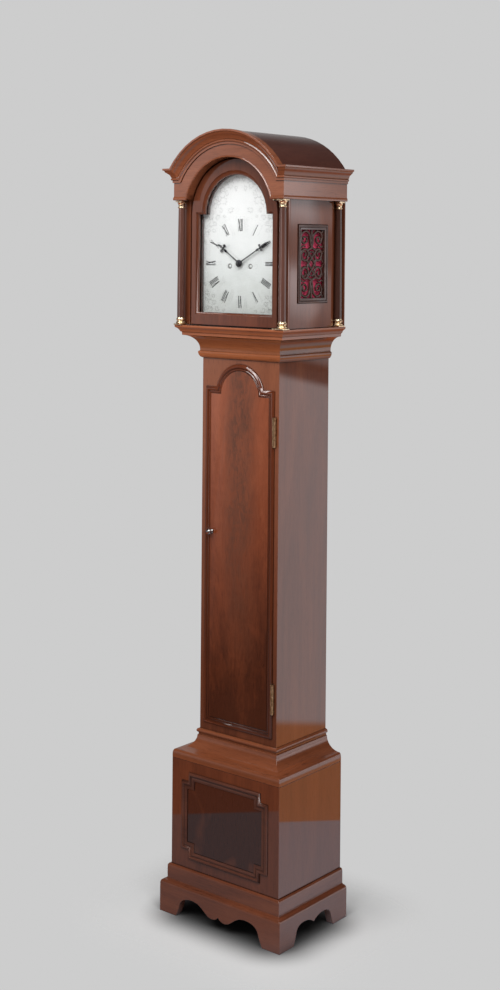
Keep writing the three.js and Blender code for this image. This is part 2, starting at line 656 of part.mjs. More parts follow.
function makePlinth() {
  const inner = PLINTH_HALF - PLINTH_WALL;
  const innerFront = PLINTH_DEPTH - PLINTH_WALL;
  const rightWall = [
    [PLINTH_HALF, fromBack(PLINTH_DEPTH)], [PLINTH_HALF, fromBack(0)],
    [inner, fromBack(0)], [inner, fromBack(innerFront)],
  ];
  const walls = polygon([...rightWall, ...mirrored(rightWall)]);
  const rear = BACK_BOARD + JOINT_GAP;
  const boardAt = (low) => block([-inner - LAP, inner + LAP],
    [fromBack(innerFront + LAP), fromBack(rear)], [low, low + PLINTH_BOARD]);
  const lid = boardAt(PLINTH_HEIGHT - PLINTH_BOARD);
  const floor = boardAt(PLINTH_BOTTOM + PLINTH_BOARD);
  const wellHalf = TRUNK_HALF - TRUNK_WALL;
  const well = block([-wellHalf, wellHalf], [fromBack(FRONT_INSIDE), fromBack(rear + PLINTH_WALL)],
    [PLINTH_HEIGHT - PLINTH_BOARD - LAP, PLINTH_HEIGHT + LAP]);
  const box = join(post(walls, PLINTH_BOTTOM, PLINTH_HEIGHT), lid, floor);
  addPart('plinth_box', cut(box, well), 'mahogany');

  // Applied moulding of two ridges and a groove, whose corners are notched inwards
  const outline = (inset) => {
    const side = PANEL_HALF_WIDTH - inset;
    const notch = side - PANEL_NOTCH;
    const low = PANEL_BOTTOM + inset;
    const high = PANEL_TOP - inset;
    const right = [
      [notch, low], [notch, low + PANEL_NOTCH], [side, low + PANEL_NOTCH],
      [side, high - PANEL_NOTCH], [notch, high - PANEL_NOTCH], [notch, high],
    ];
    return polygon([...right, ...mirrored(right)]);
  };
  const face = PLINTH_DEPTH + JOINT_GAP;
  const crest = face + PANEL_RELIEF;
  const groove = face + 0.25 * PANEL_RELIEF;
  const section = [
    [0, face], [0, groove], [0.12, crest - 0.8], [0.25, crest], [0.38, crest - 0.8], [0.47, groove],
    [0.56, groove], [0.66, crest - 1.6], [0.8, crest - 1.6], [0.92, groove], [1, groove], [1, face],
  ];
  const rings = section.map(([share, depth]) => [share * PANEL_MOULDING, depth]);
  addPart('plinth_panel_moulding', insetLoft(outline, rings, true), 'mahogany');
}

function makeMouldings() {
  // Waist: a round over the plinth, a wide cove and a bead against the trunk
  const waist = new THREE.Shape();
  const coveTop = WAIST_HEIGHT - WAIST_COLLAR;
  const coveOut = WAIST_PROJECTION - WAIST_ROUND;
  waist.moveTo(JOINT_GAP, JOINT_GAP);
  waist.lineTo(WAIST_PROJECTION, JOINT_GAP);
  waist.lineTo(WAIST_PROJECTION, COVE_BASE * 0.4);
  waist.quadraticCurveTo(WAIST_PROJECTION, COVE_BASE * 0.9, coveOut, COVE_BASE);
  waist.absellipse(coveOut, coveTop, coveOut - WAIST_ROUND, coveTop - COVE_BASE,
    -Math.PI / 2, -Math.PI, true, 0);
  waist.lineTo(WAIST_ROUND / 2, coveTop + LAP);
  waist.lineTo(WAIST_ROUND / 2, WAIST_HEIGHT - WAIST_COLLAR * 0.7);
  const beadZ = WAIST_HEIGHT - WAIST_COLLAR * 0.37;
  waist.absarc(1, beadZ, WAIST_COLLAR * 0.3, -Math.PI / 2.4, Math.PI / 2.4, false);
  waist.lineTo(JOINT_GAP, WAIST_HEIGHT);
  const waistBody = threeSided(waist, TRUNK_HALF, TRUNK_DEPTH, 0, PLINTH_HEIGHT, COVE_STEPS);
  addPart('waist_moulding', waistBody, 'mahogany');

  // Throat: an astragal against the trunk and a cove that spreads out under the hood
  const throat = new THREE.Shape();
  throat.moveTo(JOINT_GAP, 0);
  throat.lineTo(2.2, 0.5);
  throat.quadraticCurveTo(7, 3, 8.3, 12);
  throat.lineTo(7.5, 14.5);
  throat.lineTo(THROAT_NECK, 15.5);
  throat.lineTo(THROAT_NECK, THROAT_NECK_TOP);
  throat.absellipse(THROAT_PROJECTION, THROAT_NECK_TOP, THROAT_PROJECTION - THROAT_NECK,
    THROAT_HEIGHT - THROAT_NECK_TOP, Math.PI, Math.PI / 2, true, 0);
  throat.lineTo(JOINT_GAP, THROAT_HEIGHT);
  const throatBody = threeSided(throat, TRUNK_HALF, TRUNK_DEPTH, 0, THROAT_BOTTOM, COVE_STEPS);
  addPart('throat_moulding', throatBody, 'mahogany');
}

// The trunk door's outline, drawn in by an inset
const trunkDoorOutline = (inset) =>
  archedShape(DOOR_HALF_WIDTH - inset, DOOR_BOTTOM + inset, DOOR_ARCH_CENTRE + DOOR_SHOULDER - inset,
    DOOR_ARCH_RADIUS - inset, DOOR_ARCH_CENTRE);

function makeTrunk() {
  const bottom = PLINTH_HEIGHT + JOINT_GAP;
  const front = rectangle(-TRUNK_HALF, TRUNK_HALF, bottom, THROAT_TOP);
  front.holes.push(trunkDoorOutline(DOOR_LIP));
  const frame = plate(front, FRONT_INSIDE, TRUNK_DEPTH);
  const sides = [];
  for (const way of [-1, 1]) {
    const wall = ordered(way * TRUNK_HALF, way * (TRUNK_HALF - TRUNK_WALL));
    sides.push(block(wall, [fromBack(FRONT_INSIDE + LAP), fromBack(0)], [bottom, THROAT_TOP]));
    sides.push(block(wall, [fromBack(CHEEK_DEPTH), fromBack(0)], [bottom, CHEEK_TOP]));
  }
  const recesses = HINGE_PLACES.map(([, z]) => hingeRecess(z));
  addPart('trunk_carcase', cut(join(frame, ...sides), ...recesses), 'mahogany');

  // Back board: wide in the plinth, narrow between the trunk sides, wide again inside the hood
  const plinthHalf = PLINTH_HALF - PLINTH_WALL - JOINT_GAP;
  const trunkHalf = TRUNK_HALF - TRUNK_WALL - JOINT_GAP;
  const hoodHalf = HOOD_SIDE_INNER - SLIDE_GAP;
  const shoulder = CHEEK_TOP + JOINT_GAP;
  const right = [
    [plinthHalf, PLINTH_BOTTOM], [plinthHalf, PLINTH_HEIGHT], [trunkHalf, PLINTH_HEIGHT],
    [trunkHalf, shoulder], [hoodHalf, shoulder],
  ];
  const headRadius = ROOF_INNER - SLIDE_GAP;
  const headStart = Math.acos(hoodHalf / headRadius);
  const board = polygon(right);
  board.absarc(0, ARCH_CENTRE, headRadius, headStart, Math.PI - headStart, false);
  for (const [x, z] of mirrored(right)) board.lineTo(x, z);
  addPart('back_board', plate(board, 0, BACK_BOARD), 'oak');

  // Seat board with a slot for the pendulum and holes for the lines
  const seat = rectangle(-TRUNK_HALF, TRUNK_HALF, fromBack(SEAT_FRONT_DEPTH), fromBack(SEAT_BACK_DEPTH));
  seat.holes.push(rectangle(-PENDULUM_SLOT, PENDULUM_SLOT,
    fromBack(PENDULUM_DEPTH + PENDULUM_SLOT / 2), fromBack(PENDULUM_DEPTH - PENDULUM_SLOT / 2)));
  for (const way of [-1, 1]) {
    seat.holes.push(circle(way * LINE_OUTER_X, fromBack(LINE_DEPTH), LINE_HOLE_RADIUS));
    seat.holes.push(circle(way * LINE_INNER_X, fromBack(LINE_DEPTH), LINE_RADIUS + RUNNING_GAP));
  }
  addPart('seat_board', post(seat, SEAT_BOTTOM, SEAT_TOP, HOLE_STEPS), 'oak');
}

// Trunk door, hinges, knob

// Space let into the trunk front for a hinge leaf
function hingeRecess(z) {
  const reach = HINGE_LEAF / 2 + JOINT_GAP;
  const deep = TRUNK_DEPTH - HINGE_LEAF_WIDTH + HINGE_RADIUS;
  return block([HINGE_X - reach, HINGE_X + reach], [fromBack(TRUNK_DEPTH + LAP), fromBack(deep)],
    [z - JOINT_GAP, z + HINGE_LENGTH + JOINT_GAP]);
}

function makeTrunkDoor() {
  const lipBack = TRUNK_DEPTH + SLIDE_GAP / 2;
  const face = TRUNK_DEPTH + DOOR_FACE;
  const crest = TRUNK_DEPTH + DOOR_RELIEF;
  const tongue = DOOR_LIP + DOOR_OPENING_GAP;
  const rear = lipBack - DOOR_TONGUE;

  // Panel, quirk, inner bead, groove, outer bead and edge, then the rebated back
  const section = [
    [DOOR_RIM, face], [DOOR_RIM, face - 1], [DOOR_RIM - 1.4, face - 1], [DOOR_RIM - 2, face + 0.8],
    [DOOR_RIM - 3.2, face + 1.9], [DOOR_RIM - 4.6, face + 0.8], [DOOR_RIM - 5.4, face - 0.2],
    [DOOR_RIM - 6.4, face + 0.6], [DOOR_RIM - 7.6, crest - 0.8], [DOOR_RIM - 9.5, crest],
    [DOOR_RIM - 11.4, crest - 0.7], [2, crest - 2.2], [0, crest - 3.2],
    [0, lipBack], [tongue, lipBack], [tongue, rear],
  ];
  const knobX = -(DOOR_HALF_WIDTH - KNOB_INSET);
  const knobZ = DOOR_BOTTOM + KNOB_HEIGHT;
  const bore = rod(knobX, knobZ, SPINDLE_RADIUS + RUNNING_GAP, rear - LAP, crest + LAP, TURN_STEPS);
  const seats = HINGE_PLACES.map(([, z]) =>
    block([DOOR_HALF_WIDTH - HINGE_LEAF - JOINT_GAP, DOOR_HALF_WIDTH + LAP],
      [fromBack(crest + LAP), fromBack(lipBack - LAP)], [z - JOINT_GAP, z + HINGE_LENGTH + JOINT_GAP]));
  addPart('trunk_door', cut(insetLoft(trunkDoorOutline, section), bore, ...seats), 'flame');

  // Knob, spindle and the latch arm that turns behind the trunk front
  const seat = face + JOINT_GAP;
  const end = face + KNOB_LENGTH;
  const armBack = FRONT_INSIDE - SLIDE_GAP - LATCH_THICKNESS;
  const armReach = TRUNK_HALF - TRUNK_WALL - 1.5 * SLIDE_GAP + knobX;
  const armHalf = SPINDLE_RADIUS + LAP;
  const knob = spun([
    [0, armBack], [SPINDLE_RADIUS, armBack], [SPINDLE_RADIUS, seat], [KNOB_RADIUS * 0.75, seat],
    [KNOB_RADIUS * 0.75, face + 2], [KNOB_RADIUS * 0.45, face + 4], [KNOB_RADIUS * 0.5, face + 6],
    [KNOB_RADIUS, end - 6], [KNOB_RADIUS, end - 4], [KNOB_RADIUS * 0.6, end - 1], [0, end],
  ], knobX, knobZ);
  const arm = block([knobX - armHalf, knobX + armHalf],
    [fromBack(armBack + LATCH_THICKNESS), fromBack(armBack)], [knobZ - armReach, knobZ + armHalf]);
  addPart('door_knob', join(knob, arm), 'blackSteel');
  for (const [name, z] of HINGE_PLACES) makeHinge(name, z);
}

// Butt hinge: three knuckles on the case leaf, two on the door leaf, one pin
function makeHinge(name, z) {
  const knuckle = HINGE_LENGTH / 5;
  const length = (k) => {
    const low = k > 0 ? JOINT_GAP / 2 : 0;
    const high = k < 4 ? JOINT_GAP / 2 : 0;
    return [z + k * knuckle + low, z + (k + 1) * knuckle - high];
  };
  const leaf = [HINGE_X - HINGE_LEAF / 2, HINGE_X + HINGE_LEAF / 2];
  const leafDeep = TRUNK_DEPTH - HINGE_LEAF_WIDTH + HINGE_RADIUS + JOINT_GAP;
  const caseLeaf = block(leaf, [fromBack(TRUNK_DEPTH), fromBack(leafDeep)], [z, z + HINGE_LENGTH]);
  const caseKnuckles = [0, 2, 4].flatMap((k) => [
    block(leaf, [fromBack(HINGE_DEPTH - LAP), fromBack(TRUNK_DEPTH - LAP)], length(k)),
    upright(HINGE_X, HINGE_DEPTH, HINGE_RADIUS, ...length(k), KNUCKLE_STEPS),
  ]);
  const pin = upright(HINGE_X, HINGE_DEPTH, HINGE_PIN, z + LAP, z + HINGE_LENGTH - LAP);
  addPart(`hinge_${name}_case_leaf`, join(caseLeaf, ...caseKnuckles, pin), 'brass');

  const leafBack = TRUNK_DEPTH + SLIDE_GAP / 2 + JOINT_GAP;
  const doorLeaf = block([DOOR_HALF_WIDTH - HINGE_LEAF, DOOR_HALF_WIDTH],
    [fromBack(HINGE_DEPTH + LAP), fromBack(leafBack)], [z, z + HINGE_LENGTH]);
  const doorKnuckles = [1, 3].flatMap((k) => [
    block([DOOR_HALF_WIDTH - HINGE_LEAF / 2, HINGE_X],
      [fromBack(HINGE_DEPTH + LAP), fromBack(HINGE_DEPTH - LAP)], length(k)),
    upright(HINGE_X, HINGE_DEPTH, HINGE_RADIUS, ...length(k), KNUCKLE_STEPS),
  ]);
  const eye = upright(HINGE_X, HINGE_DEPTH, HINGE_PIN + RUNNING_GAP, z - LAP, z + HINGE_LENGTH + LAP);
  addPart(`hinge_${name}_door_leaf`, cut(join(doorLeaf, ...doorKnuckles), eye), 'brass');
}

// Hood

const COLUMN_PLACES = [
  ['front_left', -COLUMN_X, FRIEZE_DEPTH - COLUMN_FRONT_INSET],
  ['front_right', COLUMN_X, FRIEZE_DEPTH - COLUMN_FRONT_INSET],
  ['rear_left', -COLUMN_X, COLUMN_BACK_INSET],
  ['rear_right', COLUMN_X, COLUMN_BACK_INSET],
];

// Blind socket for a pin of the hood door, between two levels
const pivotSocket = (z0, z1) =>
  upright(HOOD_PIVOT_X, HOOD_PIVOT_DEPTH, PIVOT_RADIUS + RUNNING_GAP, z0, z1);

function makeHoodBase() {
  const profile = new THREE.Shape();
  const crown = HOOD_BASE_HEIGHT - HOOD_BASE_NOSE;
  profile.moveTo(SLIDE_GAP, JOINT_GAP);
  profile.lineTo(THROAT_PROJECTION, JOINT_GAP);
  profile.lineTo(THROAT_PROJECTION + 0.5, HOOD_BASE_FASCIA);
  profile.lineTo(THROAT_PROJECTION + 3, HOOD_BASE_FASCIA + 1);
  profile.quadraticCurveTo(THROAT_PROJECTION + 5, 2 * HOOD_BASE_FASCIA, HOOD_BASE_PROJECTION - 1.5, crown);
  profile.quadraticCurveTo(HOOD_BASE_PROJECTION, crown + 1, HOOD_BASE_PROJECTION, HOOD_BASE_HEIGHT);
  profile.lineTo(SLIDE_GAP, HOOD_BASE_HEIGHT);
  const frame = threeSided(profile, TRUNK_HALF, TRUNK_DEPTH, JOINT_GAP, THROAT_TOP, APRON_STEPS);
  const socket = pivotSocket(HOOD_FLOOR - PIN_LENGTH - RUNNING_GAP, HOOD_FLOOR + LAP);
  addPart('hood_base_frame', cut(frame, socket), 'mahogany');
}

function makeHoodSides() {
  const [inner, outer] = [HOOD_SIDE_INNER, HOOD_SIDE_OUTER];
  const rearHalf = FRIEZE_HALF_WIDTH - HOOD_STILE_INSET;
  const frontHalf = FRIEZE_HALF_WIDTH - FRONT_STILE_INSET;
  const columnSide = COLUMN_X - BASE_WIDTH / 2 - JOINT_GAP;
  const columnFront = COLUMN_BACK_INSET + BASE_WIDTH / 2 + SLIDE_GAP;
  const columnBack = COLUMN_BACK_INSET - BASE_WIDTH / 2 - SLIDE_GAP;
  const frontEdge = FRIEZE_DEPTH - COLUMN_FRONT_INSET - BASE_WIDTH / 2 - 2 * SLIDE_GAP;
  const plan = [
    [inner, JOINT_GAP], [rearHalf, JOINT_GAP], [rearHalf, columnBack], [columnSide, columnBack],
    [columnSide, columnFront], [outer, columnFront], [outer, frontEdge - FRONT_STILE_DEPTH],
    [frontHalf, frontEdge - FRONT_STILE_DEPTH], [frontHalf, frontEdge], [inner, frontEdge],
  ];
  const z = HOOD_FLOOR + FRET_CENTRE_HEIGHT;
  const y = fromBack(FRET_CENTRE_DEPTH);
  const window = (grow) => fretOutline(y, z, -grow);
  for (const [name, way] of [['left', -1], ['right', 1]]) {
    const range = (a, b) => ordered(way * a, way * b);
    const shape = polygon(plan.map(([x, depth]) => [way * x, fromBack(depth)]));
    const board = post(shape, HOOD_FLOOR + JOINT_GAP, CORNICE_TOP - HOOD_SIDE_DROP);
    const underFrieze = block(range(outer, rearHalf + LAP), [fromBack(FRIEZE_DEPTH), fromBack(-LAP)],
      [FRIEZE_BOTTOM - JOINT_GAP, CORNICE_TOP]);
    const hole = sidePlate(window(-FRET_LEDGE), ...range(inner - LAP, outer + LAP));
    const ledge = sidePlate(window(JOINT_GAP), ...range(outer - FRET_THICKNESS - JOINT_GAP, outer + LAP));
    addPart(`hood_side_${name}`, cut(board, underFrieze, hole, ledge), 'mahogany');
    addPart(`fret_${name}`, fret(way, y, z), 'mahogany');
    const silkOuter = inner - JOINT_GAP;
    const silk = sidePlate(window(0), ...range(silkOuter - SILK_THICKNESS, silkOuter));
    addPart(`silk_${name}`, silk, 'silk');
  }
}

// The fret's rectangle in depth and height, drawn in by an inset
function fretOutline(y, z, inset) {
  const half = FRET_WIDTH / 2 - inset;
  const high = FRET_HEIGHT / 2 - inset;
  return rectangle(y - half, y + half, z - high, z + high);
}

// A ribbon of wood along a smooth line, tapering from one width to another
function ribbon(points, startWidth, endWidth, steps) {
  const line = new THREE.SplineCurve(points.map(([u, v]) => new THREE.Vector2(u, v)));
  const left = [];
  const right = [];
  for (let i = 0; i <= steps; i += 1) {
    const at = line.getPoint(i / steps);
    const along = line.getTangent(i / steps);
    const reach = THREE.MathUtils.lerp(startWidth, endWidth, i / steps) / 2;
    left.push(new THREE.Vector2(at.x - along.y * reach, at.y + along.x * reach));
    right.unshift(new THREE.Vector2(at.x + along.y * reach, at.y - along.x * reach));
  }
  return new THREE.Shape([...left, ...right]);
}

// Lines of the fret in a quarter of its opening: points, widths at both ends, steps
const FRET_LINES = [
  // volute: a stem that crosses the middle, rises and curls in
  [[[-0.34, 0.4], [0, 0.49], [0.11, 0.64], [0.17, 0.84], [0.46, 0.96], [0.8, 0.9], [0.87, 0.74],
    [0.68, 0.6], [0.43, 0.65], [0.42, 0.77], [0.62, 0.79]], 1, 0.75, 12],
  // lattice from one oval to the opposite one
  [[[-0.33, 0.37], [0, 0.17], [0.24, 0.02], [0.4, -0.14]], 0.9, 0.9, 5],
  // hook inside the oval
  [[[0.83, 0.33], [0.63, 0.36], [0.48, 0.3], [0.57, 0.22]], 0.75, 0.6, 4],
  // ties to the frame
  [[[0.79, 0.15], [1.04, 0.02]], 0.8, 0.8, 1],
  [[[0.83, 0.27], [1.04, 0.36]], 0.8, 0.8, 1],
  [[[0.84, 0.76], [1.04, 0.76]], 1, 1, 1],
  [[[0.46, 0.94], [0.46, 1.04]], 1, 1, 1],
];
const FRET_OVAL = { u: 0.56, v: 0.265, radius: 12 };

// Pierced fret, mirrored both ways, inside a frame of two beads that stands proud of the hood side
function fret(way, y, z) {
  const back = HOOD_SIDE_OUTER - FRET_THICKNESS;
  const front = HOOD_SIDE_OUTER - FRET_SETBACK;
  const half = FRET_WIDTH / 2 - FRET_BORDER;
  const high = FRET_HEIGHT / 2 - FRET_BORDER;
  const proud = HOOD_SIDE_OUTER + FRET_RELIEF;
  const section = [
    [0, back], [0, proud - 1.2], [1.4, proud], [3.4, proud], [4.6, proud - 1.6], [5.6, proud - 1.6],
    [6.6, proud - 0.6], [8.4, proud - 0.6], [FRET_BORDER, front], [FRET_BORDER, back],
  ];
  const rings = section.map(([inset, x]) =>
    profilePoints(fretOutline(y, z, inset)).map((p) => new THREE.Vector3(way * x, p.x, p.y)));
  const range = ordered(way * back, way * front);
  const pieces = [loft(rings, [], true)];
  for (const [right, up] of [[1, 1], [-1, 1], [1, -1], [-1, -1]]) {
    const place = ([u, v]) => [y + right * u * half, z + up * v * high];
    for (const [line, start, end, steps] of FRET_LINES) {
      const strip = ribbon(line.map(place), start * FRET_RIBBON, end * FRET_RIBBON, steps);
      pieces.push(sidePlate(strip, ...range));
    }
    const oval = circle(...place([FRET_OVAL.u, FRET_OVAL.v]), FRET_OVAL.radius + FRET_RIBBON / 2);
    oval.holes.push(circle(...place([FRET_OVAL.u, FRET_OVAL.v]), FRET_OVAL.radius - FRET_RIBBON / 2));
    pieces.push(sidePlate(oval, ...range, FRET_OVAL_STEPS));
  }
  return join(...pieces);
}

function makeFrieze() {
  const openStart = Math.asin(ARCH_DROP / ARCH_OPENING);
  const headRadius = ROOF_INNER - JOINT_GAP;
  const headStart = Math.asin((FRIEZE_TOP - ARCH_CENTRE) / headRadius);
  const front = new THREE.Shape();
  front.moveTo(-FRIEZE_HALF_WIDTH, FRIEZE_BOTTOM);
  front.lineTo(-ARCH_OPENING_HALF, FRIEZE_BOTTOM);
  front.absarc(0, ARCH_CENTRE, ARCH_OPENING, Math.PI - openStart, openStart, true);
  front.lineTo(FRIEZE_HALF_WIDTH, FRIEZE_BOTTOM);
  front.lineTo(FRIEZE_HALF_WIDTH, FRIEZE_TOP);
  front.lineTo(headRadius * Math.cos(headStart), FRIEZE_TOP);
  front.absarc(0, ARCH_CENTRE, headRadius, headStart, Math.PI - headStart, false);
  front.lineTo(-FRIEZE_HALF_WIDTH, FRIEZE_TOP);
  const board = plate(front, FRIEZE_DEPTH - FRIEZE_BOARD, FRIEZE_DEPTH, WIDE_ARC_STEPS);
  const sides = [-1, 1].map((way) => {
    const wall = ordered(way * FRIEZE_HALF_WIDTH, way * (FRIEZE_HALF_WIDTH - FRIEZE_SIDE));
    return block(wall, [fromBack(FRIEZE_DEPTH - LAP), fromBack(JOINT_GAP)], [FRIEZE_BOTTOM, FRIEZE_TOP]);
  });

  // Rounded lip along the lower edge and a bead round the arch
  const lip = new THREE.Shape();
  lip.moveTo(-LAP, 0);
  lip.lineTo(FRIEZE_LIP * 0.6, 0);
  lip.quadraticCurveTo(FRIEZE_LIP * 1.4, FRIEZE_LIP_HEIGHT / 2, 0, FRIEZE_LIP_HEIGHT);
  lip.lineTo(-LAP, FRIEZE_LIP_HEIGHT);
  const lips = threeSided(lip, FRIEZE_HALF_WIDTH, FRIEZE_DEPTH, JOINT_GAP, FRIEZE_BOTTOM, 4);
  const archway = circle(0, ARCH_CENTRE, ARCH_OPENING);
  const archwayCut = plate(archway, FRIEZE_DEPTH - FRIEZE_BOARD, FRIEZE_DEPTH + FRIEZE_BOARD, WIDE_ARC_STEPS);
  const bead = new THREE.Shape();
  bead.moveTo(ARCH_OPENING, FRIEZE_DEPTH - LAP);
  bead.lineTo(ARCH_OPENING + 2 * ARCH_BEAD, FRIEZE_DEPTH - LAP);
  bead.absarc(ARCH_OPENING + ARCH_BEAD, FRIEZE_DEPTH, ARCH_BEAD, 0, Math.PI, false);
  const startAngle = THREE.MathUtils.radToDeg(openStart);
  const beadRing = archSweep(bead, startAngle, 180 - startAngle, 2);
  const socket = pivotSocket(FRIEZE_BOTTOM - LAP, FRIEZE_BOTTOM + PIN_LENGTH + RUNNING_GAP);
  const frieze = join(board, ...sides, cut(lips, archwayCut), beadRing);
  addPart('hood_frieze', cut(frieze, socket), 'mahogany');

  const outer = ROOF_INNER + ROOF_THICKNESS;
  const foot = FRIEZE_TOP + JOINT_GAP - ARCH_CENTRE;
  const [outStart, inStart] = [Math.asin(foot / outer), Math.asin(foot / ROOF_INNER)];
  const roof = new THREE.Shape();
  roof.absarc(0, ARCH_CENTRE, outer, outStart, Math.PI - outStart, false);
  roof.absarc(0, ARCH_CENTRE, ROOF_INNER, Math.PI - inStart, inStart, true);
  addPart('hood_roof', plate(roof, JOINT_GAP, FRIEZE_DEPTH, WIDE_ARC_STEPS), 'mahogany');
}

// Cornice profile, projection against height: fascia, bead, cyma and square nose
function corniceLine(place) {
  const shape = new THREE.Shape();
  const nose = CORNICE_HEIGHT - CORNICE_NOSE;
  shape.moveTo(...place(JOINT_GAP, 0));
  for (const [e, h] of [[2.4, 0], [2.4, 5], [4.6, 6], [5.2, 7.8], [4.6, 9.6], [3.4, 10.6], [4.6, 11.6]]) {
    shape.lineTo(...place(e, h));
  }
  shape.quadraticCurveTo(...place(6, 18), ...place(11, 20.5));
  shape.quadraticCurveTo(...place(15.2, 22.6), ...place(15.6, nose - 1));
  shape.lineTo(...place(CORNICE_PROJECTION, nose));
  shape.lineTo(...place(CORNICE_PROJECTION, CORNICE_HEIGHT));
  shape.lineTo(...place(JOINT_GAP, CORNICE_HEIGHT));
  return shape;
}

function makeCornice() {
  const levelLine = corniceLine((e, h) => [e, h]);
  const level = threeSided(levelLine, FRIEZE_HALF_WIDTH, FRIEZE_DEPTH, JOINT_GAP, CORNICE_BOTTOM, 2);
  const inner = ARCH_RADIUS - CORNICE_HEIGHT;
  const archLine = corniceLine((e, h) => [inner + h, FRIEZE_DEPTH + e]);
  const rise = CORNICE_BOTTOM - ARCH_CENTRE;
  const low = THREE.MathUtils.radToDeg(Math.asin(rise / ARCH_RADIUS)) - MITRE_OVERRUN;
  const arch = archSweep(archLine, low, 180 - low, 2);

  // Where the arch meets the level cornice, both have the same projection along this curve
  const offset = inner - rise;
  const mitre = [];
  for (let i = 0; i <= MITRE_STEPS; i += 1) {
    const height = rise + (CORNICE_HEIGHT * i) / MITRE_STEPS;
    mitre.push([Math.sqrt(offset * (2 * height + offset)), ARCH_CENTRE + height]);
  }
  const wide = ARCH_RADIUS + CORNICE_PROJECTION;
  const archZone = (lap) => {
    const side = [...mitre.map(([x, z]) => [x + lap, z]), [wide, CORNICE_TOP], [wide, ARCH_CENTRE + wide]];
    const zone = polygon([...side, ...mirrored(side)]);
    return plate(zone, FRIEZE_DEPTH - CORNICE_PROJECTION, FRIEZE_DEPTH + 2 * CORNICE_PROJECTION);
  };
  const cornice = join(cut(level, archZone(0)), common(arch, archZone(MITRE_LAP)));
  addPart('hood_cornice', cornice, 'mahogany');
}

function makeColumns() {
  const foot = HOOD_FLOOR + JOINT_GAP;
  const shaftBottom = foot + BASE_HEIGHT;
  const shaftTop = FRIEZE_BOTTOM - JOINT_GAP - CAPITAL_HEIGHT;
  const length = shaftTop - shaftBottom - 2 * JOINT_GAP;
  const [r, n] = [COLUMN_RADIUS, COLUMN_NECK_RADIUS];
  const [w, c] = [BASE_WIDTH / 2, CAPITAL_WIDTH / 2];
  const shaft = [
    [0, 0], [r, 0], [r, length * 0.3], [(r + n) / 2 + 0.3, length * 0.65], [n, length], [0, length],
  ];
  const base = [
    [0, 2], [w - 0.5, 2], [w, 4.5], [w - 0.8, 7], [r + 0.6, 8.5], [r + 0.6, 11],
    [r + 1.9, 12.5], [r + 1.5, 14.5], [r + 0.4, BASE_HEIGHT], [0, BASE_HEIGHT],
  ];
  const capital = [
    [0, 0], [n + 0.3, 0], [n + 1.7, 1.7], [n + 0.3, 3.6], [n + 0.3, 8],
    [n + 1.4, 9], [c - 1, 12.2], [c - 0.4, CAPITAL_HEIGHT - 2], [0, CAPITAL_HEIGHT - 2],
  ];
  for (const [name, x, depth] of COLUMN_PLACES) {
    const y = fromBack(depth);
    const square = (half, z0, z1) => block([x - half, x + half], [y - half, y + half], [z0, z1]);
    addPart(`column_${name}`, turned(shaft, x, depth, shaftBottom + JOINT_GAP), 'mahogany');
    const plinth = square(w, foot, foot + COLUMN_SQUARE);
    addPart(`column_base_${name}`, join(turned(base, x, depth, foot), plinth), 'brass');
    const abacus = square(c, shaftTop + CAPITAL_HEIGHT - COLUMN_SQUARE, shaftTop + CAPITAL_HEIGHT);
    addPart(`column_capital_${name}`, join(turned(capital, x, depth, shaftTop), abacus), 'brass');
  }
}

// The arched sight of the hood door, mask and dial, drawn in by an inset
const sightOutline = (inset) =>
  archedShape(SIGHT_HALF_WIDTH - inset, HOOD_FLOOR + SIGHT_BOTTOM + inset, ARCH_CENTRE - inset,
    SIGHT_ARCH_RADIUS - inset, ARCH_CENTRE - inset);

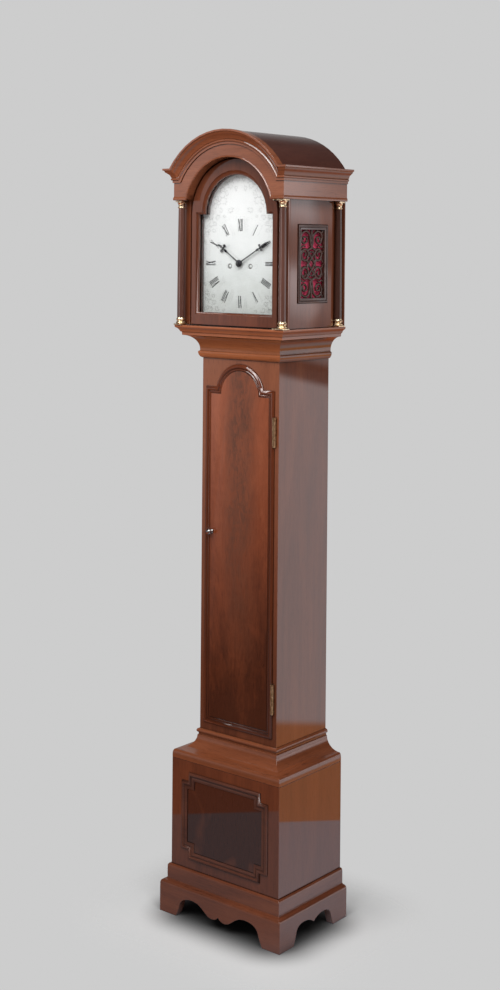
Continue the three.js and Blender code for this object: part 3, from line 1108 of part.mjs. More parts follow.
function makeHoodDoor() {
  const half = ARCH_OPENING - HOOD_DOOR_CLEARANCE;
  const bottom = HOOD_FLOOR + STRAP_THICKNESS + 3 * JOINT_GAP;
  const outline = archedShape(half, bottom, ARCH_CENTRE, half, ARCH_CENTRE);
  const slab = plate(outline, HOOD_DOOR_BACK, HOOD_DOOR_FRONT, WIDE_ARC_STEPS);
  const rebate = GLASS_LAP + JOINT_GAP;
  const rebateFront = HOOD_DOOR_BACK + GLASS_THICKNESS + 2 * JOINT_GAP;
  const quirk = HOOD_DOOR_FRONT - HOOD_DOOR_BEVEL;
  const sight = insetLoft(sightOutline, [
    [-rebate, HOOD_DOOR_BACK - LAP], [-rebate, rebateFront], [0, rebateFront], [0, quirk],
    [-1.5, quirk], [-4.5, HOOD_DOOR_FRONT - 1.2], [-4.5, HOOD_DOOR_FRONT + LAP],
  ]);
  const slotZ = FRIEZE_BOTTOM - JOINT_GAP - STRAP_THICKNESS;
  const tongueX = half - STRAP_TONGUE;
  const slot = block([tongueX - JOINT_GAP, half + LAP],
    [fromBack(HOOD_DOOR_FRONT + LAP), fromBack(HOOD_DOOR_BACK - LAP)],
    [slotZ - 2 * JOINT_GAP, slotZ + STRAP_THICKNESS]);
  addPart('hood_door_frame', cut(slab, sight, slot), 'mahogany');

  const paneBack = HOOD_DOOR_BACK + JOINT_GAP;
  const pane = plate(sightOutline(-GLASS_LAP), paneBack, paneBack + GLASS_THICKNESS);
  addPart('hood_door_glass', pane, 'glass');

  // Cranked straps: a tongue on the door and an eye with a pin in front of it
  const strap = new THREE.Shape();
  const [px, py] = [HOOD_PIVOT_X, fromBack(HOOD_PIVOT_DEPTH)];
  const [front, back] = [fromBack(HOOD_DOOR_FRONT - LAP), fromBack(HOOD_DOOR_BACK + LAP)];
  strap.moveTo(tongueX, back);
  strap.lineTo(tongueX, front);
  strap.lineTo(px - STRAP_EYE, py + STRAP_EYE);
  strap.absarc(px, py, STRAP_EYE, Math.PI, 2 * Math.PI, false);
  strap.lineTo(px + STRAP_EYE, front);
  strap.lineTo(half - LAP, back);
  const strapAt = (z) => post(strap, z, z + STRAP_THICKNESS, APRON_STEPS);
  const pin = (z0, z1) => upright(px, HOOD_PIVOT_DEPTH, PIVOT_RADIUS, z0, z1);
  const lowZ = HOOD_FLOOR + JOINT_GAP;
  const lower = join(strapAt(lowZ), pin(HOOD_FLOOR - PIN_LENGTH, lowZ + LAP));
  addPart('hood_door_pivot_lower', lower, 'brass');
  const highZ = slotZ - JOINT_GAP;
  const upper = join(strapAt(highZ), pin(highZ + LAP, FRIEZE_BOTTOM + PIN_LENGTH));
  addPart('hood_door_pivot_upper', upper, 'brass');
}

function makeMaskAndDial() {
  const half = HOOD_SIDE_INNER - JOINT_GAP;
  const mask = archedShape(half, HOOD_FLOOR + JOINT_GAP, ARCH_CENTRE, half, ARCH_CENTRE);
  mask.holes.push(sightOutline(0));
  const maskFront = HOOD_DOOR_BACK - SLIDE_GAP;
  addPart('hood_mask', plate(mask, maskFront - MASK_THICKNESS, maskFront), 'mahogany');

  const dial = sightOutline(-DIAL_MARGIN);
  dial.holes.push(circle(0, CENTRE_Z, DIAL_HOLE_RADIUS));
  for (const x of [-BARREL_X, BARREL_X]) dial.holes.push(circle(x, BARREL_Z, WINDING_HOLE_RADIUS));
  const sheet = plate(dial, DIAL_DEPTH - DIAL_THICKNESS, DIAL_DEPTH);
  const feet = [];
  for (const x of [-DIAL_FOOT_SPREAD, DIAL_FOOT_SPREAD]) {
    for (const z of [CENTRE_Z - DIAL_FOOT_DROP, CENTRE_Z + DIAL_FOOT_RISE]) {
      feet.push(rod(x, z, DIAL_FOOT_RADIUS, FRONT_PLATE_DEPTH + JOINT_GAP, DIAL_DEPTH - LAP));
    }
  }
  addPart('dial_plate', join(sheet, ...feet), 'silver');
}

// Hands: a tapered stem, a cross with three lobes and a spear point
function handShape(tip, cross) {
  const right = [
    [1.5, HAND_BOSS - LAP], [1.1, cross - 14], [2.6, cross - 11], [2.6, cross - 8],
    [1.2, cross - 5.5], [1.2, cross - 1.6], [4.5, cross - 1.4], [6, cross - 2.8], [8, cross - 1.6],
    [8, cross + 1.6], [6, cross + 2.8], [4.5, cross + 1.4], [1.2, cross + 1.6], [1.1, cross + 6],
    [2.2, cross + 8.5], [0.4, tip],
  ];
  return polygon([...right, ...mirrored(right)]);
}

// A hand pointing at an angle clockwise from twelve
function handBlade(tip, cross, back, angle) {
  const blade = plate(handShape(tip, cross), back, back + HAND_THICKNESS);
  return blade.rotateY(toRadians(angle)).translate(0, 0, CENTRE_Z);
}

function makeHands() {
  const hourBack = DIAL_DEPTH + HOUR_HAND_LIFT;
  const hourFront = hourBack + HAND_THICKNESS;
  const wheelBack = FRONT_PLATE_DEPTH + MOTION_WORK_GAP;
  const pipeBack = wheelBack - WHEEL_THICKNESS;
  const inside = HAND_ARBOR + RUNNING_GAP;
  const hourPipe = spun([
    [0, pipeBack], [HOUR_PIPE, pipeBack], [HOUR_PIPE, hourBack], [HAND_BOSS + 1, hourBack],
    [HAND_BOSS + 1, hourFront], [0, hourFront],
  ], 0, CENTRE_Z);
  const hourGear = gearShape(HOUR_WHEEL_TEETH, HOUR_WHEEL_RADIUS, 0, CENTRE_Z, 0);
  const hourWheel = plate(hourGear, wheelBack, wheelBack + WHEEL_THICKNESS);
  const bore = rod(0, CENTRE_Z, inside, pipeBack - LAP, hourFront + LAP, TURN_STEPS);
  const hourTip = SIGHT_HALF_WIDTH - HOUR_SHORT;
  const hourBlade = handBlade(hourTip, hourTip - HOUR_CROSS, hourBack, HOUR_ANGLE);
  addPart('hour_hand', cut(join(hourBlade, hourPipe, hourWheel), bore), 'blackSteel');

  const arborBack = FRONT_PLATE_DEPTH + LAP + JOINT_GAP;
  const minuteBack = DIAL_DEPTH + MINUTE_HAND_LIFT;
  const minuteFront = minuteBack + HAND_THICKNESS;
  const minuteArbor = spun([
    [0, arborBack], [HAND_ARBOR, arborBack], [HAND_ARBOR, minuteBack], [HAND_BOSS, minuteBack],
    [HAND_BOSS, minuteFront], [HAND_BOSS * 0.6, minuteFront + 1.5], [0, minuteFront + 2],
  ], 0, CENTRE_Z);
  const minuteTip = SIGHT_HALF_WIDTH - MINUTE_SHORT;
  const minuteBlade = handBlade(minuteTip, minuteTip - MINUTE_CROSS, minuteBack, MINUTE_ANGLE);
  addPart('minute_hand', join(minuteBlade, minuteArbor), 'blackSteel');
}

// Movement

// Pointed teeth round a pitch circle, with a gap on the given bearing
function gearShape(teeth, radius, x, z, bearing, toothShare = 0.44) {
  const size = (2 * radius) / teeth;
  const pitch = (2 * Math.PI) / teeth;
  const points = [];
  for (let i = 0; i < teeth; i += 1) {
    const middle = bearing + (i + 0.5) * pitch;
    for (const [share, reach] of [[-toothShare / 2, -1], [0, 0.7], [toothShare / 2, -1]]) {
      const angle = middle + share * pitch;
      const r = radius + reach * size;
      points.push([x + r * Math.cos(angle), z + r * Math.sin(angle)]);
    }
  }
  return polygon(points);
}

// A pinion with a leaf on the given bearing
const pinionShape = (radius, x, z, bearing) =>
  gearShape(PINION_LEAVES, radius, x, z, bearing + Math.PI / PINION_LEAVES, 0.5);

// An arbor with thin pivots at both ends
function arborBetween(x, z, back, shoulder, front) {
  const frontShoulder = front - PLATE_THICKNESS - JOINT_GAP;
  return spun([
    [0, back], [ARBOR_PIVOT, back], [ARBOR_PIVOT, shoulder], [ARBOR_RADIUS, shoulder],
    [ARBOR_RADIUS, frontShoulder], [ARBOR_PIVOT, frontShoulder], [ARBOR_PIVOT, front], [0, front],
  ], x, z, SMALL_STEPS);
}

const plateArbor = (x, z) =>
  arborBetween(x, z, BACK_PLATE_FRONT - PLATE_THICKNESS, BACK_PLATE_FRONT + JOINT_GAP, FRONT_PLATE_DEPTH);

// Depth of a wheel that lies some distance in front of the back plate
const layer = (offset) => BACK_PLATE_FRONT + offset;

function makeTrain() {
  const toThird = Math.atan2(THIRD_Z - CENTRE_Z, THIRD_X);
  const toEscape = Math.atan2(ESCAPE_Z - THIRD_Z, -THIRD_X);
  const wheelAt = (shape, offset) => plate(shape, layer(offset), layer(offset) + WHEEL_THICKNESS);
  const pinionAt = (shape, offset) =>
    plate(shape, layer(offset) - LAP, layer(offset) + WHEEL_THICKNESS + LAP);

  const greatPinion = gearShape(PINION_LEAVES, GREAT_PINION, 0, CENTRE_Z, 0, 0.5);
  const centre = join(
    plateArbor(0, CENTRE_Z),
    rod(0, CENTRE_Z, ARBOR_RADIUS, layer(CENTRE_LAYER), FRONT_PLATE_DEPTH + LAP),
    wheelAt(gearShape(CENTRE_TEETH, CENTRE_RADIUS, 0, CENTRE_Z, toThird), CENTRE_LAYER),
    pinionAt(greatPinion, GREAT_LAYER),
  );
  addPart('centre_wheel', centre, 'brass');

  const third = join(
    plateArbor(THIRD_X, THIRD_Z),
    pinionAt(pinionShape(CENTRE_PINION, THIRD_X, THIRD_Z, toThird + Math.PI), CENTRE_LAYER),
    wheelAt(gearShape(THIRD_TEETH, THIRD_RADIUS, THIRD_X, THIRD_Z, toEscape), THIRD_LAYER),
  );
  addPart('third_wheel', third, 'brass');

  // Escape wheel with raked teeth
  const root = ESCAPE_RADIUS - ESCAPE_TOOTH;
  const points = [];
  for (let i = 0; i < ESCAPE_TEETH; i += 1) {
    for (const [share, r] of [[0.1, root], [0.62, ESCAPE_RADIUS], [0.72, root]]) {
      const angle = ((i + share) * 2 * Math.PI) / ESCAPE_TEETH;
      points.push([r * Math.cos(angle), ESCAPE_Z + r * Math.sin(angle)]);
    }
  }
  const escape = join(
    plateArbor(0, ESCAPE_Z),
    pinionAt(pinionShape(ESCAPE_PINION, 0, ESCAPE_Z, toEscape + Math.PI), THIRD_LAYER),
    wheelAt(polygon(points), ESCAPE_LAYER),
  );
  addPart('escape_wheel', escape, 'brass');
}

// Anchor with two pallets over the escape wheel, its arbor, and the crutch that drives the pendulum
function makeAnchor() {
  const reach = (ESCAPE_RADIUS + PALLET_CLEARANCE) * Math.SQRT1_2;
  const pallet = reach - ANCHOR_RISE;
  const right = [
    [reach, pallet], [reach + 2.6, pallet - 1.5], [reach + 5, pallet + 6], [9, 1.5], [4, 4.5],
  ];
  const inner = [[-reach - 0.5, pallet + 3], [-6, -4], [6, -4], [reach + 0.5, pallet + 3]];
  const outline = [...right, ...mirrored(right), ...inner].map(([x, z]) => [x, ANCHOR_Z + z]);
  const wheelBack = layer(ESCAPE_LAYER);
  const pallets = plate(polygon(outline), wheelBack - LAP, wheelBack + WHEEL_THICKNESS + LAP);
  const shoulder = COCK_DEPTH + COCK_THICKNESS + JOINT_GAP;
  const arbor = arborBetween(0, ANCHOR_Z, COCK_DEPTH + JOINT_GAP, shoulder, FRONT_PLATE_DEPTH);

  const forkIn = PENDULUM_ROD + RUNNING_GAP;
  const forkOut = forkIn + CRUTCH_THICKNESS;
  const forkZ = ANCHOR_Z - CRUTCH_LENGTH;
  const forkRange = [forkZ - CRUTCH_HALF, forkZ + CRUTCH_HALF];
  const stemBack = shoulder + LAP;
  const stemRange = [fromBack(stemBack + CRUTCH_THICKNESS), fromBack(stemBack)];
  const stem = block([-CRUTCH_HALF, CRUTCH_HALF], stemRange, [forkZ, ANCHOR_Z + CRUTCH_HALF + LAP]);
  const yoke = block([-forkOut, forkOut], stemRange, forkRange);
  const prongEnd = fromBack(PENDULUM_DEPTH - PENDULUM_ROD - CRUTCH_THICKNESS);
  const prongs = [-1, 1].map((way) =>
    block(ordered(way * forkIn, way * forkOut), [fromBack(stemBack + LAP), prongEnd], forkRange));
  addPart('anchor', join(pallets, arbor, stem, yoke, ...prongs), 'steel');
}

function makePlates() {
  const half = PLATE_WIDTH / 2;
  const bottom = SEAT_TOP + JOINT_GAP;
  const top = bottom + PLATE_HEIGHT;
  const backFace = BACK_PLATE_FRONT - PLATE_THICKNESS;
  const pivotHole = ARBOR_PIVOT + RUNNING_GAP;
  const pillars = [];
  for (const x of [-half + PILLAR_INSET, half - PILLAR_INSET]) {
    for (const z of [bottom + PILLAR_INSET, top - PILLAR_DROP]) pillars.push([x, z]);
  }
  const drilled = (holes) => {
    const shape = rectangle(-half, half, bottom, top);
    for (const [x, z, radius] of holes) shape.holes.push(circle(x, z, radius));
    return shape;
  };
  const pivots = [[THIRD_X, THIRD_Z, pivotHole], [0, ESCAPE_Z, pivotHole], [HAMMER_X, HAMMER_Z, pivotHole]];
  const winders = (radius) => [[-BARREL_X, BARREL_Z, radius], [BARREL_X, BARREL_Z, radius]];
  const front = drilled([
    ...pivots, [0, ANCHOR_Z, pivotHole], [0, CENTRE_Z, ARBOR_RADIUS + RUNNING_GAP],
    ...winders(WINDER_RADIUS + RUNNING_GAP),
    ...pillars.map(([x, z]) => [x, z, PILLAR_STUB + JOINT_GAP]),
  ]);
  const frontSheet = plate(front, FRONT_PLATE_DEPTH - PLATE_THICKNESS, FRONT_PLATE_DEPTH, HOLE_STEPS);
  addPart('front_plate', frontSheet, 'brass');

  const back = drilled([
    ...pivots, [0, ANCHOR_Z, 2.5 * ARBOR_RADIUS], [0, CENTRE_Z, pivotHole], ...winders(pivotHole),
  ]);
  const backSheet = plate(back, backFace, BACK_PLATE_FRONT, HOLE_STEPS);
  const pillarFront = FRONT_PLATE_DEPTH - PLATE_THICKNESS - JOINT_GAP;
  const stubFront = FRONT_PLATE_DEPTH + PLATE_THICKNESS;
  const posts = pillars.map(([x, z]) => spun([
    [0, BACK_PLATE_FRONT - LAP], [PILLAR_RADIUS, BACK_PLATE_FRONT - LAP], [PILLAR_RADIUS, pillarFront],
    [PILLAR_STUB, pillarFront], [PILLAR_STUB, stubFront], [0, stubFront],
  ], x, z, SMALL_STEPS));

  // Back cock: carries the anchor's rear pivot and the slotted block that holds the suspension
  const cockSheet = rectangle(-COCK_HALF, COCK_HALF, ANCHOR_Z - COCK_DROP, COCK_TOP);
  cockSheet.holes.push(circle(0, ANCHOR_Z, pivotHole));
  const cockBody = plate(cockSheet, COCK_DEPTH, COCK_DEPTH + COCK_THICKNESS, HOLE_STEPS);
  const footX = COCK_HALF - COCK_FOOT - LAP;
  const cockFeet = [-footX, footX].map((x) =>
    rod(x, COCK_TOP - COCK_FOOT - LAP, COCK_FOOT, COCK_DEPTH + LAP, backFace + LAP));
  const saddleBack = PENDULUM_DEPTH - PENDULUM_ROD - COCK_THICKNESS;
  const saddleBottom = COCK_TOP - SADDLE_HEIGHT;
  const saddle = block([-COCK_HALF / 2, COCK_HALF / 2], [fromBack(COCK_DEPTH + LAP), fromBack(saddleBack)],
    [saddleBottom, COCK_TOP]);
  const saddleSlot = block([-SPRING_ROOM, SPRING_ROOM], [fromBack(COCK_DEPTH), fromBack(saddleBack - LAP)],
    [saddleBottom - LAP, COCK_TOP + LAP]);
  const cock = cut(join(cockBody, saddle), saddleSlot);

  // Bell standard: a post on the plate, an arm over the bell and a screw through its crown
  const crown = BELL_Z + BELL_RADIUS + JOINT_GAP;
  const armRange = [-STANDARD_HALF, STANDARD_HALF];
  const arm = block(armRange, [fromBack(BELL_DEPTH + STANDARD_HALF), fromBack(backFace)],
    [crown, crown + STANDARD_HALF]);
  const standard = block(armRange, [fromBack(BACK_PLATE_FRONT), fromBack(backFace)],
    [top - LAP, crown + LAP]);
  const nutTop = -BELL_WALL - 2 * JOINT_GAP;
  const nutBottom = nutTop - BELL_NUT;
  const screw = turned([
    [0, nutBottom], [BELL_NUT, nutBottom], [BELL_NUT, nutTop], [PIVOT_RADIUS, nutTop],
    [PIVOT_RADIUS, LAP], [0, LAP],
  ], 0, BELL_DEPTH, crown, SMALL_STEPS);
  addPart('back_plate', join(backSheet, ...posts, cock, ...cockFeet, arm, standard, screw), 'brass');
}

// Barrel with a flange, great wheel, arbor and winding square
function makeBarrels() {
  const start = layer(BARREL_START);
  const flange = start + BARREL_RIM;
  const end = start + BARREL_LENGTH;
  const back = BACK_PLATE_FRONT - PLATE_THICKNESS;
  const backShoulder = BACK_PLATE_FRONT + JOINT_GAP;
  const hubFront = FRONT_PLATE_DEPTH + PLATE_THICKNESS;
  const square = WINDING_SQUARE / 2;
  for (const [name, way] of [['strike', -1], ['going', 1]]) {
    const x = way * BARREL_X;
    const drum = spun([
      [0, back], [ARBOR_PIVOT, back], [ARBOR_PIVOT, backShoulder], [ARBOR_RADIUS, backShoulder],
      [ARBOR_RADIUS, start], [BARREL_FLANGE, start], [BARREL_FLANGE, flange], [BARREL_RADIUS, flange],
      [BARREL_RADIUS, end], [WINDER_RADIUS, end], [WINDER_RADIUS, hubFront], [0, hubFront],
    ], x, BARREL_Z);
    const greatGear = gearShape(GREAT_TEETH, GREAT_RADIUS, x, BARREL_Z, 0);
    const greatWheel = plate(greatGear, end - LAP, end + LAP + WHEEL_THICKNESS);
    const winder = block([x - square, x + square], [fromBack(DIAL_DEPTH - LAP), fromBack(FRONT_PLATE_DEPTH)],
      [BARREL_Z - square, BARREL_Z + square]);
    addPart(`${name}_barrel`, join(drum, greatWheel, winder), 'brass');
  }
}

function makeWeights() {
  const shoulder = WEIGHT_FLOOR + WEIGHT_HEIGHT;
  const axle = shoulder + PULLEY_RISE;
  const knot = SEAT_TOP + KNOT_RADIUS + JOINT_GAP;
  const groove = PULLEY_RADIUS - LINE_RADIUS - JOINT_GAP;
  const y = fromBack(LINE_DEPTH);
  const body = [
    [0, 0], [WEIGHT_RADIUS - 2, 0], [WEIGHT_RADIUS, 2], [WEIGHT_RADIUS, WEIGHT_HEIGHT - 5],
    [WEIGHT_RADIUS - 1.5, WEIGHT_HEIGHT - 3], [WEIGHT_RADIUS - 8, WEIGHT_HEIGHT], [0, WEIGHT_HEIGHT],
  ];
  const sheave = [
    [0, LINE_DEPTH - PULLEY_HALF], [PULLEY_RIM, LINE_DEPTH - PULLEY_HALF],
    [groove, LINE_DEPTH - 1.2], [groove, LINE_DEPTH + 1.2],
    [PULLEY_RIM, LINE_DEPTH + PULLEY_HALF], [0, LINE_DEPTH + PULLEY_HALF],
  ];
  for (const [name, way] of [['strike', -1], ['going', 1]]) {
    const x = way * WEIGHT_X;
    const pin = rod(x, axle, STIRRUP_PIN, LINE_DEPTH - 2 * PULLEY_HALF, LINE_DEPTH + 2 * PULLEY_HALF);
    const straps = [-1, 1].map((side) => {
      const middle = y + side * 1.5 * PULLEY_HALF;
      return block([x - STIRRUP_HALF, x + STIRRUP_HALF], [middle - 1.2, middle + 1.2],
        [shoulder - LAP, axle + STIRRUP_HALF]);
    });
    const weight = join(turned(body, x, LINE_DEPTH, WEIGHT_FLOOR), spun(sheave, x, axle), pin, ...straps);
    addPart(`${name}_weight`, weight, 'brass');

    // Gut line: down from the barrel, round the pulley and up to a knot on the seat board
    const bend = new THREE.EllipseCurve(0, 0, PULLEY_RADIUS, PULLEY_RADIUS, -Math.PI, 0, false);
    const bendPoints = bend.getPoints(TURN_STEPS).map((p) => new THREE.Vector3(p.x, 0, p.y));
    const track = new THREE.CatmullRomCurve3(bendPoints);
    const options = { steps: TURN_STEPS, extrudePath: track, curveSegments: LINE_STEPS };
    const loop = new THREE.ExtrudeGeometry(circle(0, 0, LINE_RADIUS), options).translate(x, y, axle);
    const fallBottom = axle - LAP / 2;
    const outerFall = upright(way * LINE_OUTER_X, LINE_DEPTH, LINE_RADIUS, fallBottom, BARREL_Z);
    const innerFall = upright(way * LINE_INNER_X, LINE_DEPTH, LINE_RADIUS, fallBottom, knot);
    const tie = new THREE.SphereGeometry(KNOT_RADIUS, 6, 4).translate(way * LINE_INNER_X, y, knot);
    addPart(`${name}_line`, join(outerFall, innerFall, loop, tie), 'gut');
  }
}

function makePendulum() {
  const bobZ = ANCHOR_Z - PENDULUM_LENGTH;
  const nutTop = bobZ - BOB_RADIUS - JOINT_GAP;
  const rodLength = ANCHOR_Z - SPRING_LENGTH / 2 - nutTop;
  const r = PENDULUM_ROD;
  const rodBody = turned([
    [0, -10], [r, -10], [r, -NUT_HEIGHT], [NUT_RADIUS, -NUT_HEIGHT], [NUT_RADIUS, 0], [r, 0],
    [r, rodLength], [0, rodLength],
  ], 0, PENDULUM_DEPTH, nutTop, SMALL_STEPS);
  const pinTop = COCK_TOP + SPRING_PIN;
  const spring = block([-SPRING_HALF, SPRING_HALF],
    [fromBack(PENDULUM_DEPTH + r), fromBack(PENDULUM_DEPTH - r)], [ANCHOR_Z - SPRING_LENGTH, pinTop]);
  const pin = block([-2 * r, 2 * r], [fromBack(PENDULUM_DEPTH + r / 2), fromBack(PENDULUM_DEPTH - r / 2)],
    [COCK_TOP + 2 * JOINT_GAP, pinTop]);
  addPart('pendulum_rod', join(rodBody, spring, pin), 'steel');

  // Lens-shaped bob on the rod
  const half = BOB_THICKNESS / 2;
  const faceLine = [[0, 1], [0.5, 0.8], [0.82, 0.42], [1, 0.17]];
  const front = faceLine.map(([share, deep]) => [share * BOB_RADIUS, PENDULUM_DEPTH + deep * half]);
  const back = faceLine.map(([share, deep]) => [share * BOB_RADIUS, PENDULUM_DEPTH - deep * half]);
  const lens = spun([...back, ...front.reverse()], 0, bobZ, WIDE_TURN_STEPS);
  const bore = upright(0, PENDULUM_DEPTH, r + JOINT_GAP, bobZ - BOB_RADIUS - LAP, bobZ + BOB_RADIUS + LAP);
  addPart('pendulum_bob', cut(lens, bore), 'brass');
}

function makeBell() {
  const profile = new THREE.Shape();
  const hole = PIVOT_RADIUS + JOINT_GAP;
  const inside = BELL_RADIUS - BELL_WALL;
  profile.moveTo(hole, BELL_RADIUS);
  profile.lineTo(hole, inside);
  profile.bezierCurveTo(BELL_RADIUS * 0.55, inside, inside - BELL_WALL, BELL_RADIUS * 0.6, inside, 0);
  profile.lineTo(BELL_RADIUS, 0);
  profile.bezierCurveTo(BELL_RADIUS - 2, BELL_RADIUS * 0.6, BELL_RADIUS * 0.62, BELL_RADIUS,
    hole, BELL_RADIUS);
  const points = profile.getPoints(APRON_STEPS).map((p) => [p.x, p.y]);
  addPart('bell', turned(points, 0, BELL_DEPTH, BELL_Z), 'brass');

  const headIn = BELL_RADIUS + HAMMER_REST_GAP;
  const headOut = HAMMER_X + HAMMER_HEAD;
  const headZ = BELL_Z + HAMMER_HEAD;
  const arm = block([HAMMER_X - HAMMER_ARM, HAMMER_X + HAMMER_ARM],
    [fromBack(BELL_DEPTH + HAMMER_ARM), fromBack(BELL_DEPTH - HAMMER_ARM)], [HAMMER_Z, headZ + LAP]);
  const head = new THREE.CylinderGeometry(HAMMER_HEAD, HAMMER_HEAD, headOut - headIn, SMALL_STEPS);
  head.rotateZ(Math.PI / 2).translate((headIn + headOut) / 2, fromBack(BELL_DEPTH), headZ);
  addPart('hammer', join(plateArbor(HAMMER_X, HAMMER_Z), arm, head), 'steel');
}

makeBracketSkirt();
makePlinth();
makeMouldings();
makeTrunk();
makeTrunkDoor();
makeHoodBase();
makeHoodSides();
makeFrieze();
makeCornice();
makeColumns();
makeHoodDoor();
makeMaskAndDial();
makeHands();
makePlates();
makeTrain();
makeAnchor();
makeBarrels();
makeWeights();
makePendulum();
makeBell();

export default clock;
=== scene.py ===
"""Looks of the small longcase clock: polished mahogany, brass, a silvered dial and crimson silk."""
import json
import math

import bmesh
import bpy
from mathutils import Matrix, Vector


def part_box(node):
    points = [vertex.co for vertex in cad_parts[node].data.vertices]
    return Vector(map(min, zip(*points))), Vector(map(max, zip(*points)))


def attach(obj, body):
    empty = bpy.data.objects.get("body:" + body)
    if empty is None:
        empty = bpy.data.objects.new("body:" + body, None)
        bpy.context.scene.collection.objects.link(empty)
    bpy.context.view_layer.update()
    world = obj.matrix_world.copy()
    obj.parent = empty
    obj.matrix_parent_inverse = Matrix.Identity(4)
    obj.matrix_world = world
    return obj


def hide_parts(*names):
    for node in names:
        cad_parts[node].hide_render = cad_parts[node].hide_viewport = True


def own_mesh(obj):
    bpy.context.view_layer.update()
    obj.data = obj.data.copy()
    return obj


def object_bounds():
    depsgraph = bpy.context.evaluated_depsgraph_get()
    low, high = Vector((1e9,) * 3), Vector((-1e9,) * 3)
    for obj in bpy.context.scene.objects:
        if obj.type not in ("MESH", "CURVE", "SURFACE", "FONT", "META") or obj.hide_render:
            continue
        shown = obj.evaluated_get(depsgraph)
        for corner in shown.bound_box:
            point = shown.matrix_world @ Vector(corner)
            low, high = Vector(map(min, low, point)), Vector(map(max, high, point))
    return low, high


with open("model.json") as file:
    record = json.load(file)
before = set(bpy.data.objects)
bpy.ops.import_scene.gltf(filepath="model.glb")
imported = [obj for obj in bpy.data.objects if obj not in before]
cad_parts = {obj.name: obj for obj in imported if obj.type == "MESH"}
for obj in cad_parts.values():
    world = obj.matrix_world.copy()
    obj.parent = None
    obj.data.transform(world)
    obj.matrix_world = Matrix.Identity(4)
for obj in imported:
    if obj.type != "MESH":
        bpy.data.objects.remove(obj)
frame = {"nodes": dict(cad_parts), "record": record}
CAD_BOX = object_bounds()
NODES = frame["nodes"]
BODIES = frame["record"]["behaviour"]["bodies"]
BODY = {node: body for body, members in BODIES.items() for node in members}
CORNERS = ("front_left", "front_right", "rear_left", "rear_right")
SIDES = (("left", -1), ("right", 1))
TRAINS = ("going", "strike")
MM = 0.001

# Camera as solved from the photograph
CAMERA_PLACE = (2.077, -2.57525, 1.450)
CAMERA_YAW = math.radians(39.16)
CAMERA_ROLL = math.radians(-0.484)
CAMERA_LENS = 55.29
CAMERA_SENSOR = 36.0
CAMERA_SHIFT = -0.2502

# Woods: dark, middle and light tone, linear
MAHOGANY = ((0.060, 0.0165, 0.0085), (0.140, 0.0390, 0.0170), (0.215, 0.066, 0.028))
DOOR_FRAME = ((0.050, 0.0145, 0.0080), (0.112, 0.0315, 0.0145), (0.170, 0.052, 0.024))
WARM = ((0.085, 0.022, 0.0085), (0.175, 0.049, 0.0190), (0.25, 0.078, 0.034))
GOLDEN = ((0.105, 0.030, 0.0125), (0.205, 0.063, 0.0275), (0.28, 0.095, 0.046))
COVE = ((0.10, 0.028, 0.0105), (0.25, 0.072, 0.024), (0.36, 0.115, 0.046))
HONEY = ((0.185, 0.053, 0.022), (0.345, 0.108, 0.047), (0.44, 0.152, 0.072))
DEEP = ((0.020, 0.0075, 0.0060), (0.050, 0.0160, 0.0105), (0.090, 0.029, 0.0170))
CROTCH = ((0.058, 0.0135, 0.0050), (0.190, 0.0425, 0.0140), (0.31, 0.085, 0.036))
PLINTH = ((0.034, 0.0105, 0.0065), (0.150, 0.0400, 0.0170), (0.29, 0.092, 0.038))
SHADED = ((0.035, 0.011, 0.007), (0.085, 0.025, 0.013), (0.14, 0.042, 0.021))
# Front columns: a lighter copy of the column tone, painted light on the front pair
FRONT_COLUMN_LIT = ((0.045, 0.018, 0.014), (0.092, 0.037, 0.027), (0.15, 0.062, 0.044))
COLUMN = ((0.023, 0.0105, 0.0085), (0.052, 0.0215, 0.0155), (0.090, 0.036, 0.025))
# Roof: a darker tone, partly its own and partly painted shade on the top
DARK_AND_SHADED_ROOF = ((0.030, 0.0110, 0.0085), (0.058, 0.0195, 0.0140), (0.088, 0.031, 0.0215))
OAK = ((0.075, 0.043, 0.024), (0.145, 0.088, 0.048), (0.215, 0.140, 0.080))
PLUME = (0.104, 0.0345, 0.017, 1)


# Node graphs

